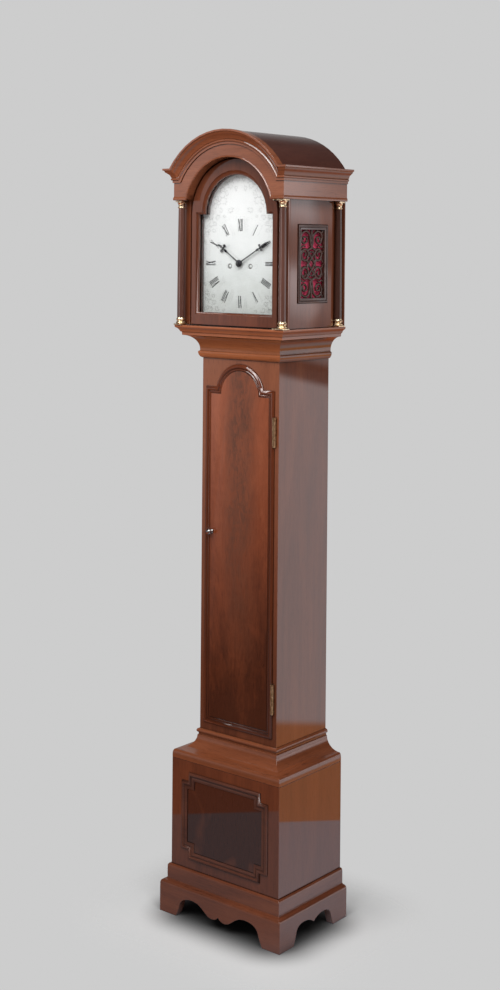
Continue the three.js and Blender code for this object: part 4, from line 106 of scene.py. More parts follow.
class Graph:
    """A node tree that is wired up in short calls."""

    def __init__(self, tree, place="Object"):
        self.tree = tree
        self.place = self.add("ShaderNodeTexCoord").outputs[place]

    def add(self, kind, **settings):
        node = self.tree.nodes.new(kind)
        for name, value in settings.items():
            setattr(node, name, value)
        return node

    def put(self, socket, value):
        if isinstance(value, bpy.types.NodeSocket):
            self.tree.links.new(value, socket)
        else:
            socket.default_value = value

    def dress(self, node, **sockets):
        for name, value in sockets.items():
            self.put(node.inputs[name.replace("_", " ")], value)

    def wired(self, node, *values):
        for socket, value in zip(node.inputs, values):
            self.put(socket, value)
        return node.outputs[0]

    def math(self, operation, *values):
        return self.wired(self.add("ShaderNodeMath", operation=operation), *values)

    def plus(self, first, *others):
        for other in others:
            first = self.math("ADD", first, other)
        return first

    def times(self, first, *others):
        for other in others:
            first = self.math("MULTIPLY", first, other)
        return first

    def minus(self, first, second):
        return self.math("SUBTRACT", first, second)

    def line(self, value, slope, start):
        """A value times a slope, added to a start."""
        return self.math("MULTIPLY_ADD", value, slope, start)

    def swing(self, noise, gain, start):
        """Noise about its mean, times a gain, added to a start."""
        return self.line(self.minus(noise, 0.5), gain, start)

    def blend(self, factor, first, second):
        return self.line(factor, self.minus(second, first), first)

    def below(self, value, limit):
        return self.math("LESS_THAN", value, limit)

    def size(self, value):
        return self.math("ABSOLUTE", value)

    def split(self):
        node = self.add("ShaderNodeSeparateXYZ")
        self.put(node.inputs[0], self.place)
        return node.outputs

    def join(self, x, y, z):
        return self.wired(self.add("ShaderNodeCombineXYZ"), x, y, z)

    def grey(self, value):
        return self.join(value, value, value)

    def noise(self, scale, detail=2.0, roughness=0.5, distortion=0.0, place=None):
        """Noise over the piece, or over another place, with its repeats per metre along each axis."""
        spread = self.add("ShaderNodeMapping")
        self.dress(spread, Vector=place or self.place, Scale=scale)
        node = self.add("ShaderNodeTexNoise")
        self.dress(node, Vector=spread.outputs[0], Scale=1.0, Detail=detail)
        self.dress(node, Roughness=roughness, Distortion=distortion)
        return node.outputs["Fac"]

    def span(self, value, low, high, start=0.0, end=1.0, smooth=False):
        """From start to end while a value goes from low to high."""
        kind = "SMOOTHSTEP" if smooth else "LINEAR"
        node = self.add("ShaderNodeMapRange", clamp=True, interpolation_type=kind)
        return self.wired(node, value, low, high, start, end)

    def vary(self, noise, start, end):
        return self.span(noise, 0.3, 0.7, start, end)

    def ramp(self, factor, stops):
        node = self.add("ShaderNodeValToRGB")
        line = node.color_ramp.elements
        while len(line) < len(stops):
            line.new(0.5)
        for element, (position, colour) in zip(line, stops):
            element.position = position
            element.color = (*colour, 1)
        return self.wired(node, factor)

    def curve(self, value, points):
        """Straight pieces through points of value and height."""
        low, high = points[0][0], points[-1][0]
        peak = max(height for _, height in points)
        stops = [((at - low) / (high - low), (height / peak,) * 3) for at, height in points]
        return self.times(self.ramp(self.span(value, low, high), stops), peak)

    def mix(self, factor, first, second, blend="MIX"):
        node = self.add("ShaderNodeMix", data_type="RGBA", blend_type=blend)
        for index, value in ((0, factor), (6, first), (7, second)):
            self.put(node.inputs[index], value)
        return node.outputs[2]

    def corner_shade(self, reach, shade):
        """Painted shade: one in the open, falling to a darker share in corners and grooves."""
        node = self.add("ShaderNodeAmbientOcclusion", samples=6)
        self.dress(node, Distance=reach)
        return self.span(node.outputs["AO"], 0.45, 0.95, shade, 1.0)

    def bump(self, height, depth, strength):
        node = self.add("ShaderNodeBump")
        self.dress(node, Strength=strength, Distance=depth, Height=height)
        return node.outputs[0]


class Surface(Graph):
    """The node tree of a new material."""

    def __init__(self, name, **sockets):
        self.material = bpy.data.materials.new(name)
        self.material.use_nodes = True
        super().__init__(self.material.node_tree)
        self.done(**sockets)

    def done(self, **sockets):
        self.dress(self.tree.nodes["Principled BSDF"], **sockets)
        return self.material


# Woods

# Repeats per metre, across and along the grain
CLOUD, BANDS, FIBRE, PORES = (15, 2.4), (110, 2.6), (760, 13), (2100, 42)
TONE_STOPS = (0.28, 0.5, 0.74)
# Painted shade in the corners and grooves of the wood: its reach and its darkest share
CORNER_SHADE_REACH, CORNER_SHADE_DEPTH = 3 * MM, 0.12
PORE_DEPTH = 0.04 * MM

# Heights over which painted shade low on the trunk door turns to painted light higher up, and the face of its
# flat inside the rim
DOOR_SHADE_HEIGHTS = (0.42, 1.10)
RIM_FACE = -55.9 * MM


def stretch(grain, across, along):
    """Scales that draw a texture out along the grain; mouldings that turn corners have two axes."""
    return [along if axis in grain else across for axis in "xyz"]


def wood(name, grain, tones, figure_and_shade=None, coat=1.0, haze=0.025, gloss=1.6):
    """Polished wood with painted shade in corners and grooves; its tone changes from place to place by the
    grain's markings and by painted light and shade, and the plume's colour may be laid over it.
    """
    graph = Surface(
        name, IOR=1.5, Specular_IOR_Level=0.05, Coat_Weight=coat, Coat_Roughness=haze, Coat_IOR=gloss
    )
    cloud = graph.noise(stretch(grain, *CLOUD), 3, 0.55, 0.8)
    bands = graph.noise(stretch(grain, *BANDS))
    fibre = graph.noise(stretch(grain, *FIBRE))
    tone = graph.line(cloud, 0.5, 0.12)
    tone = graph.line(bands, 0.14, tone)
    tone = graph.line(fibre, 0.12, tone)
    veil = None
    if figure_and_shade:
        tone, veil = figure_and_shade(graph, tone)
    colour = graph.ramp(tone, list(zip(TONE_STOPS, tones)))
    if veil:
        colour = graph.mix(veil, colour, PLUME)
    pores = graph.noise(stretch(grain, *PORES), 1)
    # Painted shade in corners and grooves, laid over the darker pores
    shade = graph.corner_shade(CORNER_SHADE_REACH, CORNER_SHADE_DEPTH)
    pores_and_corner_shade = graph.times(graph.span(pores, 0.30, 0.40, 0.55, 1.0), shade)
    return graph.done(
        Base_Color=graph.mix(1.0, colour, graph.grey(pores_and_corner_shade), "MULTIPLY"),
        Roughness=graph.vary(fibre, 0.30, 0.42),
        Normal=graph.bump(pores, PORE_DEPTH, 0.3),
    )


def flame(graph, tone):
    """Crotch-figured trunk door: a soft brown plume up the middle inside a dark moulded rim; painted shade
    darkens the door and its rim towards the bottom and painted light brightens them higher up, and the field
    is a little darker to the right.
    """
    x, y, z = graph.split()
    off = graph.swing(graph.noise((3, 3, 4.5)), 0.10, x)
    far = graph.size(graph.minus(off, 6 * MM))
    climb = graph.line(graph.math("SQRT", far), -2.4, z)
    feather = graph.noise((20, 24, 1), 3, 0.55, 0.5, graph.join(climb, far, 0.0))
    cloud = graph.noise((30, 30, 10), 3, 0.55, 1.0)
    fleck = graph.noise((85, 85, 38), 4, 0.6, 1.2)
    plume = graph.times(
        graph.span(far, 12 * MM, 62 * MM, 1.0, 0.0, smooth=True),
        graph.vary(cloud, 1.0, 0.6),
        graph.span(fleck, 0.36, 0.60, 0.45, 1.1),
        graph.span(z, 0.50, 0.88, 0.1, 1.0),
    )
    tone = graph.line(tone, 0.5, 0.25)
    ripple = graph.times(graph.minus(feather, 0.5), 0.10)
    field = graph.plus(
        tone,
        graph.swing(fleck, 0.14, ripple),
        graph.vary(cloud, -0.04, 0.03),
        # painted shade low on the door, painted light higher up
        graph.span(z, *DOOR_SHADE_HEIGHTS, -0.23, 0.12),
        graph.span(x, -40 * MM, 90 * MM, 0.02, -0.025),
    )
    rim = graph.span(y, RIM_FACE - 0.3 * MM, RIM_FACE, 1.0, 0.0)
    # the rim's bead: its own darker tone, with painted shade low down and painted light higher up
    bead = graph.line(tone, 0.4, graph.span(z, *DOOR_SHADE_HEIGHTS, 0.10, 0.17))
    return graph.blend(rim, field, bead), graph.times(plume, graph.minus(1.0, rim))


def shaded_front(graph, tone):
    """Trunk: painted light and shade on the front, lighter high up and darker towards the waist."""
    _, y, z = graph.split()
    front = graph.below(y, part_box("trunk_carcase")[0].y + 1 * MM)
    return graph.line(front, graph.span(z, 0.42, 1.15, -0.06, 0.21), tone), None


def front_and_side_light(node, front, side):
    """Moulding round three sides of the case: painted light and shade, one shift of tone in front and another
    at the sides.
    """
    low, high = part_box(node)

    def figure_and_shade(graph, tone):
        x, y, _ = graph.split()
        inward = graph.minus(high.x, graph.size(x))
        ahead = graph.below(graph.minus(y, low.y), inward)
        return graph.plus(tone, graph.line(ahead, front - side, side)), None

    return figure_and_shade


def panel_veneer(graph, tone):
    """Plinth: darker mottled veneer inside the applied moulding."""
    x, y, z = graph.split()
    low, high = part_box("plinth_panel_moulding")
    inset, notch = 8 * MM, 20 * MM
    side, bottom, top = high.x - inset, low.z + inset, high.z - inset
    rise = (top - bottom) / 2
    x = graph.size(x)
    height = graph.size(graph.minus(z, (top + bottom) / 2))
    wide = graph.times(graph.below(x, side), graph.below(height, rise - notch))
    tall = graph.times(graph.below(x, side - notch), graph.below(height, rise))
    inside = graph.times(graph.math("MAXIMUM", wide, tall), graph.below(y, high.y + 2 * MM))
    outer = graph.math("GREATER_THAN", x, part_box("plinth_box")[1].x - 1 * MM)
    tone = graph.line(outer, 0.04, graph.line(tone, 0.45, 0.175))
    veneer = graph.swing(graph.noise((17, 17, 12), 2, 0.5, 0.7), 0.5, 0.25)
    return graph.blend(inside, tone, veneer), None


upright_wood = wood("mahogany_upright", "z", MAHOGANY)
frame_wood = wood("mahogany_frame", "z", DOOR_FRAME)
trunk_wood = wood("mahogany_trunk", "z", MAHOGANY, shaded_front)
level_wood = wood("mahogany_level", "xy", MAHOGANY, haze=0.12)
warm_level_wood = wood("mahogany_level_warm", "xy", WARM, haze=0.14)
golden_wood = wood("mahogany_level_golden", "xy", GOLDEN, haze=0.08, gloss=1.8)
# Hood base and throat: painted shade darkens their sides, and painted light brightens the throat's front
honey_wood = wood("mahogany_level_honey", "xy", HONEY, front_and_side_light("hood_base_frame", 0.0, -0.12), haze=0.06)
cove_wood = wood("mahogany_level_cove", "xy", COVE, front_and_side_light("throat_moulding", 0.12, -0.14), haze=0.08)
plinth_wood = wood("mahogany_plinth", "z", PLINTH, panel_veneer)
dark_upright_wood = wood("mahogany_dark_upright", "z", DEEP)
fret_wood = wood("mahogany_fret", "z", COLUMN, coat=0.5, haze=0.12)
column_wood = wood("mahogany_column", "z", COLUMN)
lit_front_column_wood = wood("mahogany_front_column", "z", FRONT_COLUMN_LIT)
shaded_level_wood = wood("mahogany_level_shaded", "xy", SHADED, coat=0.6, haze=0.26)
# the roof's dark tone is partly painted shade on its top face
roof_wood = wood("mahogany_roof", "y", DARK_AND_SHADED_ROOF, coat=0.7, haze=0.12)
flame_wood = wood("mahogany_flame", "z", CROTCH, flame)
oak_wood = wood("oak", "z", OAK, coat=0.0)
oak_level_wood = wood("oak_level", "x", OAK, coat=0.0)


# Metals, dial, glass, silk and gut

def metal(name, bright, dull, rough):
    graph = Surface(name, Metallic=1.0)
    cloud = graph.noise((160, 160, 160), 4, 0.6)
    marks = graph.noise((2400, 2400, 260))
    return graph.done(
        Base_Color=graph.ramp(cloud, [(0.35, dull), (0.6, bright)]),
        Roughness=graph.vary(marks, rough * 0.8, rough * 1.4),
        Normal=graph.bump(marks, 0.02 * MM, 0.25),
    )


def silvering():
    """Silvered brass; painted light makes it whitest in the arch, and painted shade darkens it towards the
    foot.
    """
    graph = Surface("silvered_brass", Metallic=0.12)
    cloud = graph.noise((26, 26, 26), 4, 0.6)
    rub = graph.noise((90, 90, 4200))
    low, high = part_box("dial_plate")
    # Painted light and shade: brighter up towards the arch, darker towards the foot
    rise = graph.span(graph.split()[2], low.z, high.z - 80 * MM)
    tone = graph.line(rise, 0.55, graph.line(rub, 0.3, graph.times(cloud, 0.3)))
    stops = [(0.22, (0.39, 0.41, 0.38)), (0.5, (0.65, 0.68, 0.665)), (0.85, (0.85, 0.86, 0.855))]
    return graph.done(
        Base_Color=graph.ramp(tone, stops),
        Roughness=graph.vary(rub, 0.36, 0.5),
        Normal=graph.bump(rub, 0.02 * MM, 0.2),
    )


def ink(name, colour):
    graph = Surface(name, Specular_IOR_Level=0.3)
    worn = graph.noise((900, 900, 900), 3)
    faded = [min(1.0, c * 1.6 + 0.002) for c in colour]
    return graph.done(
        Base_Color=graph.ramp(worn, [(0.42, colour), (0.72, faded)]), Roughness=graph.vary(worn, 0.4, 0.6)
    )


def pane_glass():
    graph = Surface(
        "window_glass", Transmission_Weight=1.0, IOR=1.45, Alpha=0.12, Base_Color=(0.97, 0.985, 0.98, 1)
    )
    wave = graph.noise((9, 9, 7))
    return graph.done(Roughness=graph.vary(wave, 0.01, 0.03), Normal=graph.bump(wave, 0.4 * MM, 0.15))


def woven_silk():
    graph = Surface(
        "crimson_silk", Sheen_Weight=0.5, Sheen_Roughness=0.35, Sheen_Tint=(1.0, 0.45, 0.5, 1)
    )
    threads = 5200.0
    _, y, z = graph.split()
    weft, warp = (graph.math("SINE", graph.times(way, threads)) for way in (z, y))
    weave = graph.line(graph.times(weft, warp), 0.5, 0.5)
    slub = graph.noise((60, 60, 900), 3)
    tone = graph.line(slub, 0.7, graph.times(weave, 0.3))
    return graph.done(
        Base_Color=graph.ramp(tone, [(0.25, (0.84, 0.045, 0.125)), (0.7, (1.0, 0.105, 0.230))]),
        Roughness=graph.vary(slub, 0.4, 0.6),
        Normal=graph.bump(weave, 0.15 * MM, 0.4),
    )


def twisted_gut():
    graph = Surface("gut_line", IOR=1.5)
    x, y, z = graph.split()
    lay = graph.line(graph.plus(x, y), 2600.0, graph.times(z, 2100.0))
    strand = graph.line(graph.math("SINE", lay), 0.5, 0.5)
    return graph.done(
        Base_Color=graph.ramp(strand, [(0.1, (0.20, 0.115, 0.045)), (0.9, (0.46, 0.30, 0.135))]),
        Roughness=graph.span(strand, 0.0, 1.0, 0.6, 0.45),
        Normal=graph.bump(strand, 0.1 * MM, 0.5),
    )


brass = metal("polished_brass", (0.90, 0.76, 0.54), (0.58, 0.44, 0.27), 0.24)
old_brass = metal("worn_brass", (0.72, 0.52, 0.30), (0.38, 0.24, 0.12), 0.32)
steel = metal("bright_steel", (0.62, 0.62, 0.63), (0.40, 0.40, 0.42), 0.24)
dark_steel = metal("polished_iron", (0.36, 0.34, 0.33), (0.17, 0.16, 0.16), 0.15)
black_steel = metal("blacked_steel", (0.030, 0.030, 0.036), (0.014, 0.014, 0.017), 0.3)
silver = silvering()
black_ink = ink("black_wax", (0.006, 0.006, 0.007))
grey_ink = ink("engraving_grey", (0.065, 0.068, 0.062))
pale_ink = ink("engraving_pale", (0.24, 0.25, 0.245))
glass = pane_glass()
silk = woven_silk()
gut = twisted_gut()


# Meshes

SHARP_EDGE = 38.0


def add_piece(name, bm, material, body, replaced=(), smooth_angle=35.0):
    mesh = bpy.data.meshes.new(name)
    bmesh.ops.recalc_face_normals(bm, faces=bm.faces)
    bm.to_mesh(mesh)
    bm.free()
    mesh.materials.append(material)
    mesh.shade_smooth()
    mesh.set_sharp_from_angle(angle=math.radians(smooth_angle))
    piece = bpy.data.objects.new(name, mesh)
    bpy.context.scene.collection.objects.link(piece)
    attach(piece, body)
    if replaced:
        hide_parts(*replaced)
    return piece


def dressed(node, material, bevel=0.0, smooth_angle=35.0):
    """A copy of a CAD solid with clean flat faces, softened edges and smooth curves."""
    bm = bmesh.new()
    bm.from_mesh(NODES[node].data)
    bmesh.ops.remove_doubles(bm, verts=bm.verts, dist=1e-6)
    bmesh.ops.dissolve_limit(bm, angle_limit=math.radians(0.4), verts=bm.verts, edges=bm.edges)
    if bevel:
        soften(bm, bevel)
    piece = add_piece("look_" + node, bm, material, BODY[node], [node], smooth_angle)
    weighted = piece.modifiers.new("flat_faces", "WEIGHTED_NORMAL")
    weighted.keep_sharp = True


def soften(bm, width):
    """Bevels the sharp edges that no short edge meets."""
    short = 2.4 * width
    tight = {v for e in bm.edges if e.calc_length() < short for v in e.verts}
    edges = [
        e
        for e in bm.edges
        if len(e.link_faces) == 2
        and e.calc_face_angle() > math.radians(SHARP_EDGE)
        and not any(v in tight for v in e.verts)
    ]
    round_edges(bm, edges, width, 2, False)


def round_edges(bm, edges, width, segments, clamp):
    bmesh.ops.bevel(
        bm, geom=edges, offset=width, offset_type="OFFSET", segments=segments, profile=0.5,
        affect="EDGES", clamp_overlap=clamp,
    )


def foot_of(node):
    """Corners of a node's box and the middle of its foot."""
    low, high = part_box(node)
    return low, high, ((low.x + high.x) / 2, (low.y + high.y) / 2, low.z)


def in_mm(profile):
    return [(radius * MM, height * MM) for radius, height in profile]


def steps(count, start, end):
    """Values in even steps from start to end."""
    return [start + (end - start) * i / count for i in range(count + 1)]


def circle(count):
    return steps(count, 0, 2 * math.pi)[:-1]


def polar(centre, reach, angle):
    return (centre[0] + reach * math.cos(angle), centre[1] + reach * math.sin(angle))


def bridge(bm, rings):
    """Faces between closed rings of as many points."""
    for first, second in zip(rings, rings[1:]):
        for k in range(len(first)):
            j = (k + 1) % len(first)
            bm.faces.new((first[k], first[j], second[j], second[k]))


def revolve(bm, profile, centre, sides=40, forward=False):
    """Adds a profile of (radius, height) turned about an axis that points up, or forward to -y."""
    rings = []
    for radius, height in profile:
        ring = []
        for t in circle(sides) if radius > 1e-7 else [0]:
            a, b = polar((0, 0), radius, t)
            ring.append(bm.verts.new(Vector(centre) + Vector((a, -height, b) if forward else (a, b, height))))
        rings.append(ring)
    for low, high in zip(rings, rings[1:]):
        for i in range(sides):
            j = (i + 1) % sides
            corners = []
            for vert in (low[i % len(low)], low[j % len(low)], high[j % len(high)], high[i % len(high)]):
                if vert not in corners:
                    corners.append(vert)
            if len(corners) > 2:
                bm.faces.new(corners)


def roll(radius, low, high, bulge):
    """Profile points of a rounded moulding that stands out from a radius."""
    half = (high - low) / 2
    return [(radius + bulge * math.sin(t), low + half * (1 - math.cos(t))) for t in steps(8, 0, math.pi)]


def add_block(bm, low, high, bevel):
    made = bmesh.ops.create_cube(bm, size=1.0)["verts"]
    low, high = Vector(low), Vector(high)
    for vert in made:
        vert.co = (low + high) / 2 + Vector(c * s for c, s in zip(vert.co, high - low))
    round_edges(bm, list({e for v in made for e in v.link_edges}), bevel, 3, True)


def add_tube(bm, points, radius, sides=10):
    rings = []
    for i, point in enumerate(points):
        before, after = points[max(i - 1, 0)], points[min(i + 1, len(points) - 1)]
        along = (Vector(after) - Vector(before)).normalized()
        across = along.cross(Vector((0, 1, 0))).normalized()
        other = along.cross(across)
        ring = [Vector(point) + radius * (math.cos(t) * across + math.sin(t) * other) for t in circle(sides)]
        rings.append([bm.verts.new(place) for place in ring])
    bridge(bm, rings)
    bm.faces.new(rings[0][::-1])
    bm.faces.new(rings[-1])


def add_stroke(bm, points, widths, y):
    """A flat ribbon in x and z that lies in the plane y, with its own width at each point."""
    left, right = [], []
    for i, (x, z) in enumerate(points):
        before, after = points[max(i - 1, 0)], points[min(i + 1, len(points) - 1)]
        dx, dz = after[0] - before[0], after[1] - before[1]
        length = math.hypot(dx, dz) or 1.0
        reach = widths[i] / 2
        left.append(bm.verts.new((x - dz / length * reach, y, z + dx / length * reach)))
        right.append(bm.verts.new((x + dz / length * reach, y, z - dx / length * reach)))
    for i in range(len(points) - 1):
        bm.faces.new((left[i], left[i + 1], right[i + 1], right[i]))


# Case and hood woodwork

for node, material, bevel in (
    ("bracket_skirt", level_wood, 0.6),
    ("plinth_box", plinth_wood, 0.6),
    ("waist_moulding", warm_level_wood, 0.5),
    ("throat_moulding", cove_wood, 0.5),
    ("trunk_carcase", trunk_wood, 0.6),
    ("hood_base_frame", honey_wood, 0.5),
    ("hood_side_left", upright_wood, 0.5),
    ("hood_side_right", upright_wood, 0.5),
    ("hood_frieze", golden_wood, 0.4),
    ("hood_roof", roof_wood, 0.5),
    ("hood_cornice", golden_wood, 0.4),
    ("hood_door_frame", frame_wood, 0.5),
    ("hood_mask", dark_upright_wood, 0.4),
):
    dressed(node, material, bevel * MM)
dressed("plinth_panel_moulding", shaded_level_wood, smooth_angle=50.0)
dressed("trunk_door", flame_wood, smooth_angle=85.0)
dressed("back_board", oak_wood, 0.6 * MM)
dressed("seat_board", oak_level_wood, 0.6 * MM)


# Pierced frets in the hood sides: scrolls, ovals and lattice inside a frame of two beads

FRET_BORDER = 11.0
FRET_RIBBON = 5.8
FRET_BACK, FRET_FRONT = 130.8, 134.2
FRET_OVAL = (0.56, 0.265, 12.0)

# Rounded edge of a ribbon: share of the half width, share of the rounding's depth
FRET_ROUND = 1.3
FRET_EDGE = ((1, 1), (0.86, 0.5), (0.62, 0.16))

# Frame section: inset from the edge, distance from the clock's middle
FRET_SECTION = (
    (0, 133), (0, 136.9), (0.3, 137.6), (0.9, 138.15), (1.9, 138.4), (2.9, 138.3), (3.7, 137.8), (4.3, 137),
    (4.6, 136.8), (5.5, 136.8), (5.8, 137.15), (6.5, 137.65), (7.4, 137.8), (8.3, 137.6), (9.2, 137.2),
    (10.4, 136.9), (11, 136.4), (11, 130.8), (8, 130.8), (8, 133),
)

# Lines in a quarter of the opening: points as shares of its half sizes, widths at both ends
FRET_LINES = (
    (((-0.34, 0.4), (0, 0.49), (0.11, 0.64), (0.17, 0.84), (0.46, 0.96), (0.8, 0.9), (0.87, 0.74),
      (0.68, 0.6), (0.43, 0.65), (0.42, 0.77), (0.62, 0.79)), 1, 0.75),
    (((-0.33, 0.37), (0, 0.17), (0.24, 0.02), (0.4, -0.14)), 0.9, 0.9),
    (((0.83, 0.33), (0.63, 0.36), (0.48, 0.3), (0.57, 0.22)), 0.75, 0.6),
    (((0.79, 0.15), (1.04, 0.02)), 0.8, 0.8),
    (((0.83, 0.27), (1.04, 0.36)), 0.8, 0.8),
    (((0.84, 0.76), (1.04, 0.76)), 1, 1),
    (((0.46, 0.94), (0.46, 1.04)), 1, 1),
    (((0, 1.03), (0.03, 0.86), (0.02, 0.70), (0.10, 0.58)), 0.9, 0.4),
    (((1, 0.52), (0.84, 0.49), (0.66, 0.53), (0.52, 0.50)), 0.8, 0.35),
    (((0.98, 0.98), (0.90, 0.93), (0.84, 0.86)), 1.3, 0.5),
    (((0.17, 0.30), (0.10, 0.36), (0.02, 0.33)), 0.7, 0.4),
    (((0.62, 0.79), (0.70, 0.76), (0.66, 0.70)), 1, 0.5),
)


def smooth_line(points):
    """A spline through the points, with seven steps between each pair."""
    points = [Vector(p) for p in points]
    line = []
    for i in range(len(points) - 1):
        before, start, end = points[max(i - 1, 0)], points[i], points[i + 1]
        after = points[min(i + 2, len(points) - 1)]
        first, last = (end - before) / 2, (after - start) / 2
        for t in steps(7, 0, 1)[:-1]:
            line.append(
                start * (2 * t**3 - 3 * t**2 + 1) + first * (t**3 - 2 * t**2 + t)
                + end * (3 * t**2 - 2 * t**3) + last * (t**3 - t**2)
            )
    return line + [points[-1]]


def add_ribbon(bm, line, widths, way, lift, closed=False):
    """A flat strip with rounded edges along a line in depth and height, in millimetres."""
    rings = []
    count = len(line)
    for i, point in enumerate(line):
        after = line[(i + 1) % count] if closed else line[min(i + 1, count - 1)]
        before = line[i - 1] if closed else line[max(i - 1, 0)]
        along = (after - before).normalized()
        across = Vector((-along.y, along.x))
        reach, top = widths[i] / 2, FRET_FRONT + lift
        half = [(reach, FRET_BACK)] + [(reach * side, top - FRET_ROUND * drop) for side, drop in FRET_EDGE]
        ring = []
        for r, x in half + [(0, top)] + [(-r, x) for r, x in reversed(half)]:
            place = point + across * r
            ring.append(bm.verts.new((way * x * MM, place.x * MM, place.y * MM)))
        rings.append(ring)
    if closed:
        rings.append(rings[0])
    else:
        bm.faces.new(rings[0])
        bm.faces.new(rings[-1])
    bridge(bm, rings)


def fret_grille(side, way):
    low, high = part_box("fret_" + side)
    middle = Vector((low.y + high.y, low.z + high.z)) / (2 * MM)
    outer = Vector((high.y - low.y, high.z - low.z)) / (2 * MM)
    opening = outer - Vector((FRET_BORDER, FRET_BORDER))
    bm = bmesh.new()
    rings = []
    for inset, x in FRET_SECTION:
        right, up = outer.x - inset, outer.y - inset
        corners = ((right, up), (-right, up), (-right, -up), (right, -up))
        ring = [(way * x * MM, (middle.x + y) * MM, (middle.y + z) * MM) for y, z in corners]
        rings.append([bm.verts.new(place) for place in ring])
    bridge(bm, rings + rings[:1])
    add_piece("grille_frame_" + side, bm, column_wood, "hood", ["fret_" + side])
    bm = bmesh.new()
    for quarter, (right, up) in enumerate(((1, 1), (-1, 1), (1, -1), (-1, -1))):
        def placed(u, v):
            return middle + Vector((right * u * opening.x, up * v * opening.y))

        # Each line lies a little lower than the one before, so that no faces coincide
        for order, (points, start, end) in enumerate(FRET_LINES):
            line = smooth_line([placed(u, v) for u, v in points])
            widths = [FRET_RIBBON * share for share in steps(len(line) - 1, start, end)]
            add_ribbon(bm, line, widths, way, -0.03 * order - 0.01 * quarter)
        u, v, radius = FRET_OVAL
        oval = [Vector(polar(placed(u, v), radius, t)) for t in circle(40)]
        add_ribbon(bm, oval, [FRET_RIBBON] * len(oval), way, 0.02, closed=True)
    add_piece("grille_" + side, bm, fret_wood, "hood", ["fret_" + side])


for side, way in SIDES:
    fret_grille(side, way)


# Columns with brass bases and capitals

COLUMN_NECK = 6.7
PLATE_THICK, PLATE_BEVEL = 3 * MM, 0.5 * MM


def base_profile(foot, half, tall):
    return [
        (0, 2.5), *roll(half - 3.2, 3, 7.6, 2.9), (half - 2.9, 8.2), (foot + 0.7, 9.3), (foot + 0.6, 10.6),
        *roll(foot + 0.7, 11.2, 14.2, 1.4), (foot + 0.5, 14.6), (foot + 0.3, tall), (0, tall),
    ]


def capital_profile(neck, half, tall):
    reach = half - neck - 1.4
    quarter = steps(6, 0, math.pi / 2)
    cup = [(neck + 0.8 + reach * math.sin(t), 9.6 + 3.6 * (1 - math.cos(t))) for t in quarter]
    return [
        (0, 0), (neck + 0.3, 0), *roll(neck + 0.3, 0.2, 3.4, 1.4), (neck + 0.2, 3.9), (neck + 0.3, 7.6),
        *roll(neck + 0.4, 7.9, 9.3, 0.8), *cup, (half - 0.7, tall - 2.5), (0, tall - 2.5),
    ]


def column(corner):
    neck = COLUMN_NECK
    low, high, centre = foot_of("column_" + corner)
    length, foot = (high.z - low.z) / MM, max(high.x - low.x, high.y - low.y) / (2 * MM)
    profile = [(0, 0), (foot - 0.3, 0), (foot, 0.3)]
    for share in steps(13, 0, 1)[1:-1]:
        profile.append((foot - (foot - neck) * share ** 1.7, length * share))
    profile += [(neck, length - 0.3), (neck - 0.3, length), (0, length)]
    bm = bmesh.new()
    revolve(bm, in_mm(profile), centre, 32)
    # Painted light: the front columns take a lighter tone than the rear ones, which stay darker as painted
    # shade
    timber = lit_front_column_wood if corner.startswith("front") else column_wood
    add_piece("shaft_" + corner, bm, timber, "hood", ["column_" + corner])

    for part, radius, shape in (("base", foot, base_profile), ("capital", neck, capital_profile)):
        node = f"column_{part}_{corner}"
        low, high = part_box(node)
        plate = low.z if part == "base" else high.z - PLATE_THICK
        bm = bmesh.new()
        add_block(bm, (low.x, low.y, plate), (high.x, high.y, plate + PLATE_THICK), PLATE_BEVEL)
        profile = shape(radius, (high.x - low.x) / (2 * MM), (high.z - low.z) / MM)
        revolve(bm, in_mm(profile), (*centre[:2], low.z))
        add_piece(f"{part}_{corner}", bm, brass, "hood", [node])


for corner in CORNERS:
    column(corner)


# Silk behind the frets

SILK_SLACK = 0.22 * MM
SILK_COLUMNS, SILK_ROWS = 42, 66


def silk_sheet(side, way):
    low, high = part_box("silk_" + side)
    x = (low.x + high.x) / 2
    wide, tall = high.y - low.y, high.z - low.z
    bm = bmesh.new()
    grid = []
    for v in steps(SILK_ROWS, 0, 1):
        line = []
        for u in steps(SILK_COLUMNS, 0, 1):
            held = min(1.0, 9 * min(u, 1 - u, v, 1 - v))
            across = math.sin(5.1 * math.pi * u + 0.6 * math.sin(4 * v))
            slack = SILK_SLACK * held * across * math.cos(1.7 * math.pi * v)
            line.append(bm.verts.new((x + way * slack, low.y + wide * u, low.z + tall * v)))
        grid.append(line)
    for j in range(SILK_ROWS):
        for i in range(SILK_COLUMNS):
            bm.faces.new((grid[j][i], grid[j][i + 1], grid[j + 1][i + 1], grid[j + 1][i]))
    piece = add_piece("silk_cloth_" + side, bm, silk, "hood", ["silk_" + side], 80.0)


for side, way in SIDES:
    silk_sheet(side, way)


# Dial: Roman numerals, minute marks and scroll engraving, in millimetres

DIAL_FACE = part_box("dial_plate")[0].y
DIAL_Z = 1.415
MARK_FACE = DIAL_FACE - 0.06 * MM
NUMERAL_IN, NUMERAL_TALL = 69.5, 26.0
THICK, THIN, SERIF = 2.7, 1.2, 0.5
SERIF_REACH = 1.1
MINUTE_IN, MINUTE_OUT, FIVE_OUT, MINUTE_STROKE = 99.6, 101.2, 101.6, 0.4
ARCH_CENTRE_Z = 1520.5
WINDING_X, WINDING_Z = 28.5, 1409.2
WINDING_RING, WINDING_STROKE = 4.9, 1.2
NUMERALS = ("XII", "I", "II", "III", "IIII", "V", "VI", "VII", "VIII", "IX", "X", "XI")

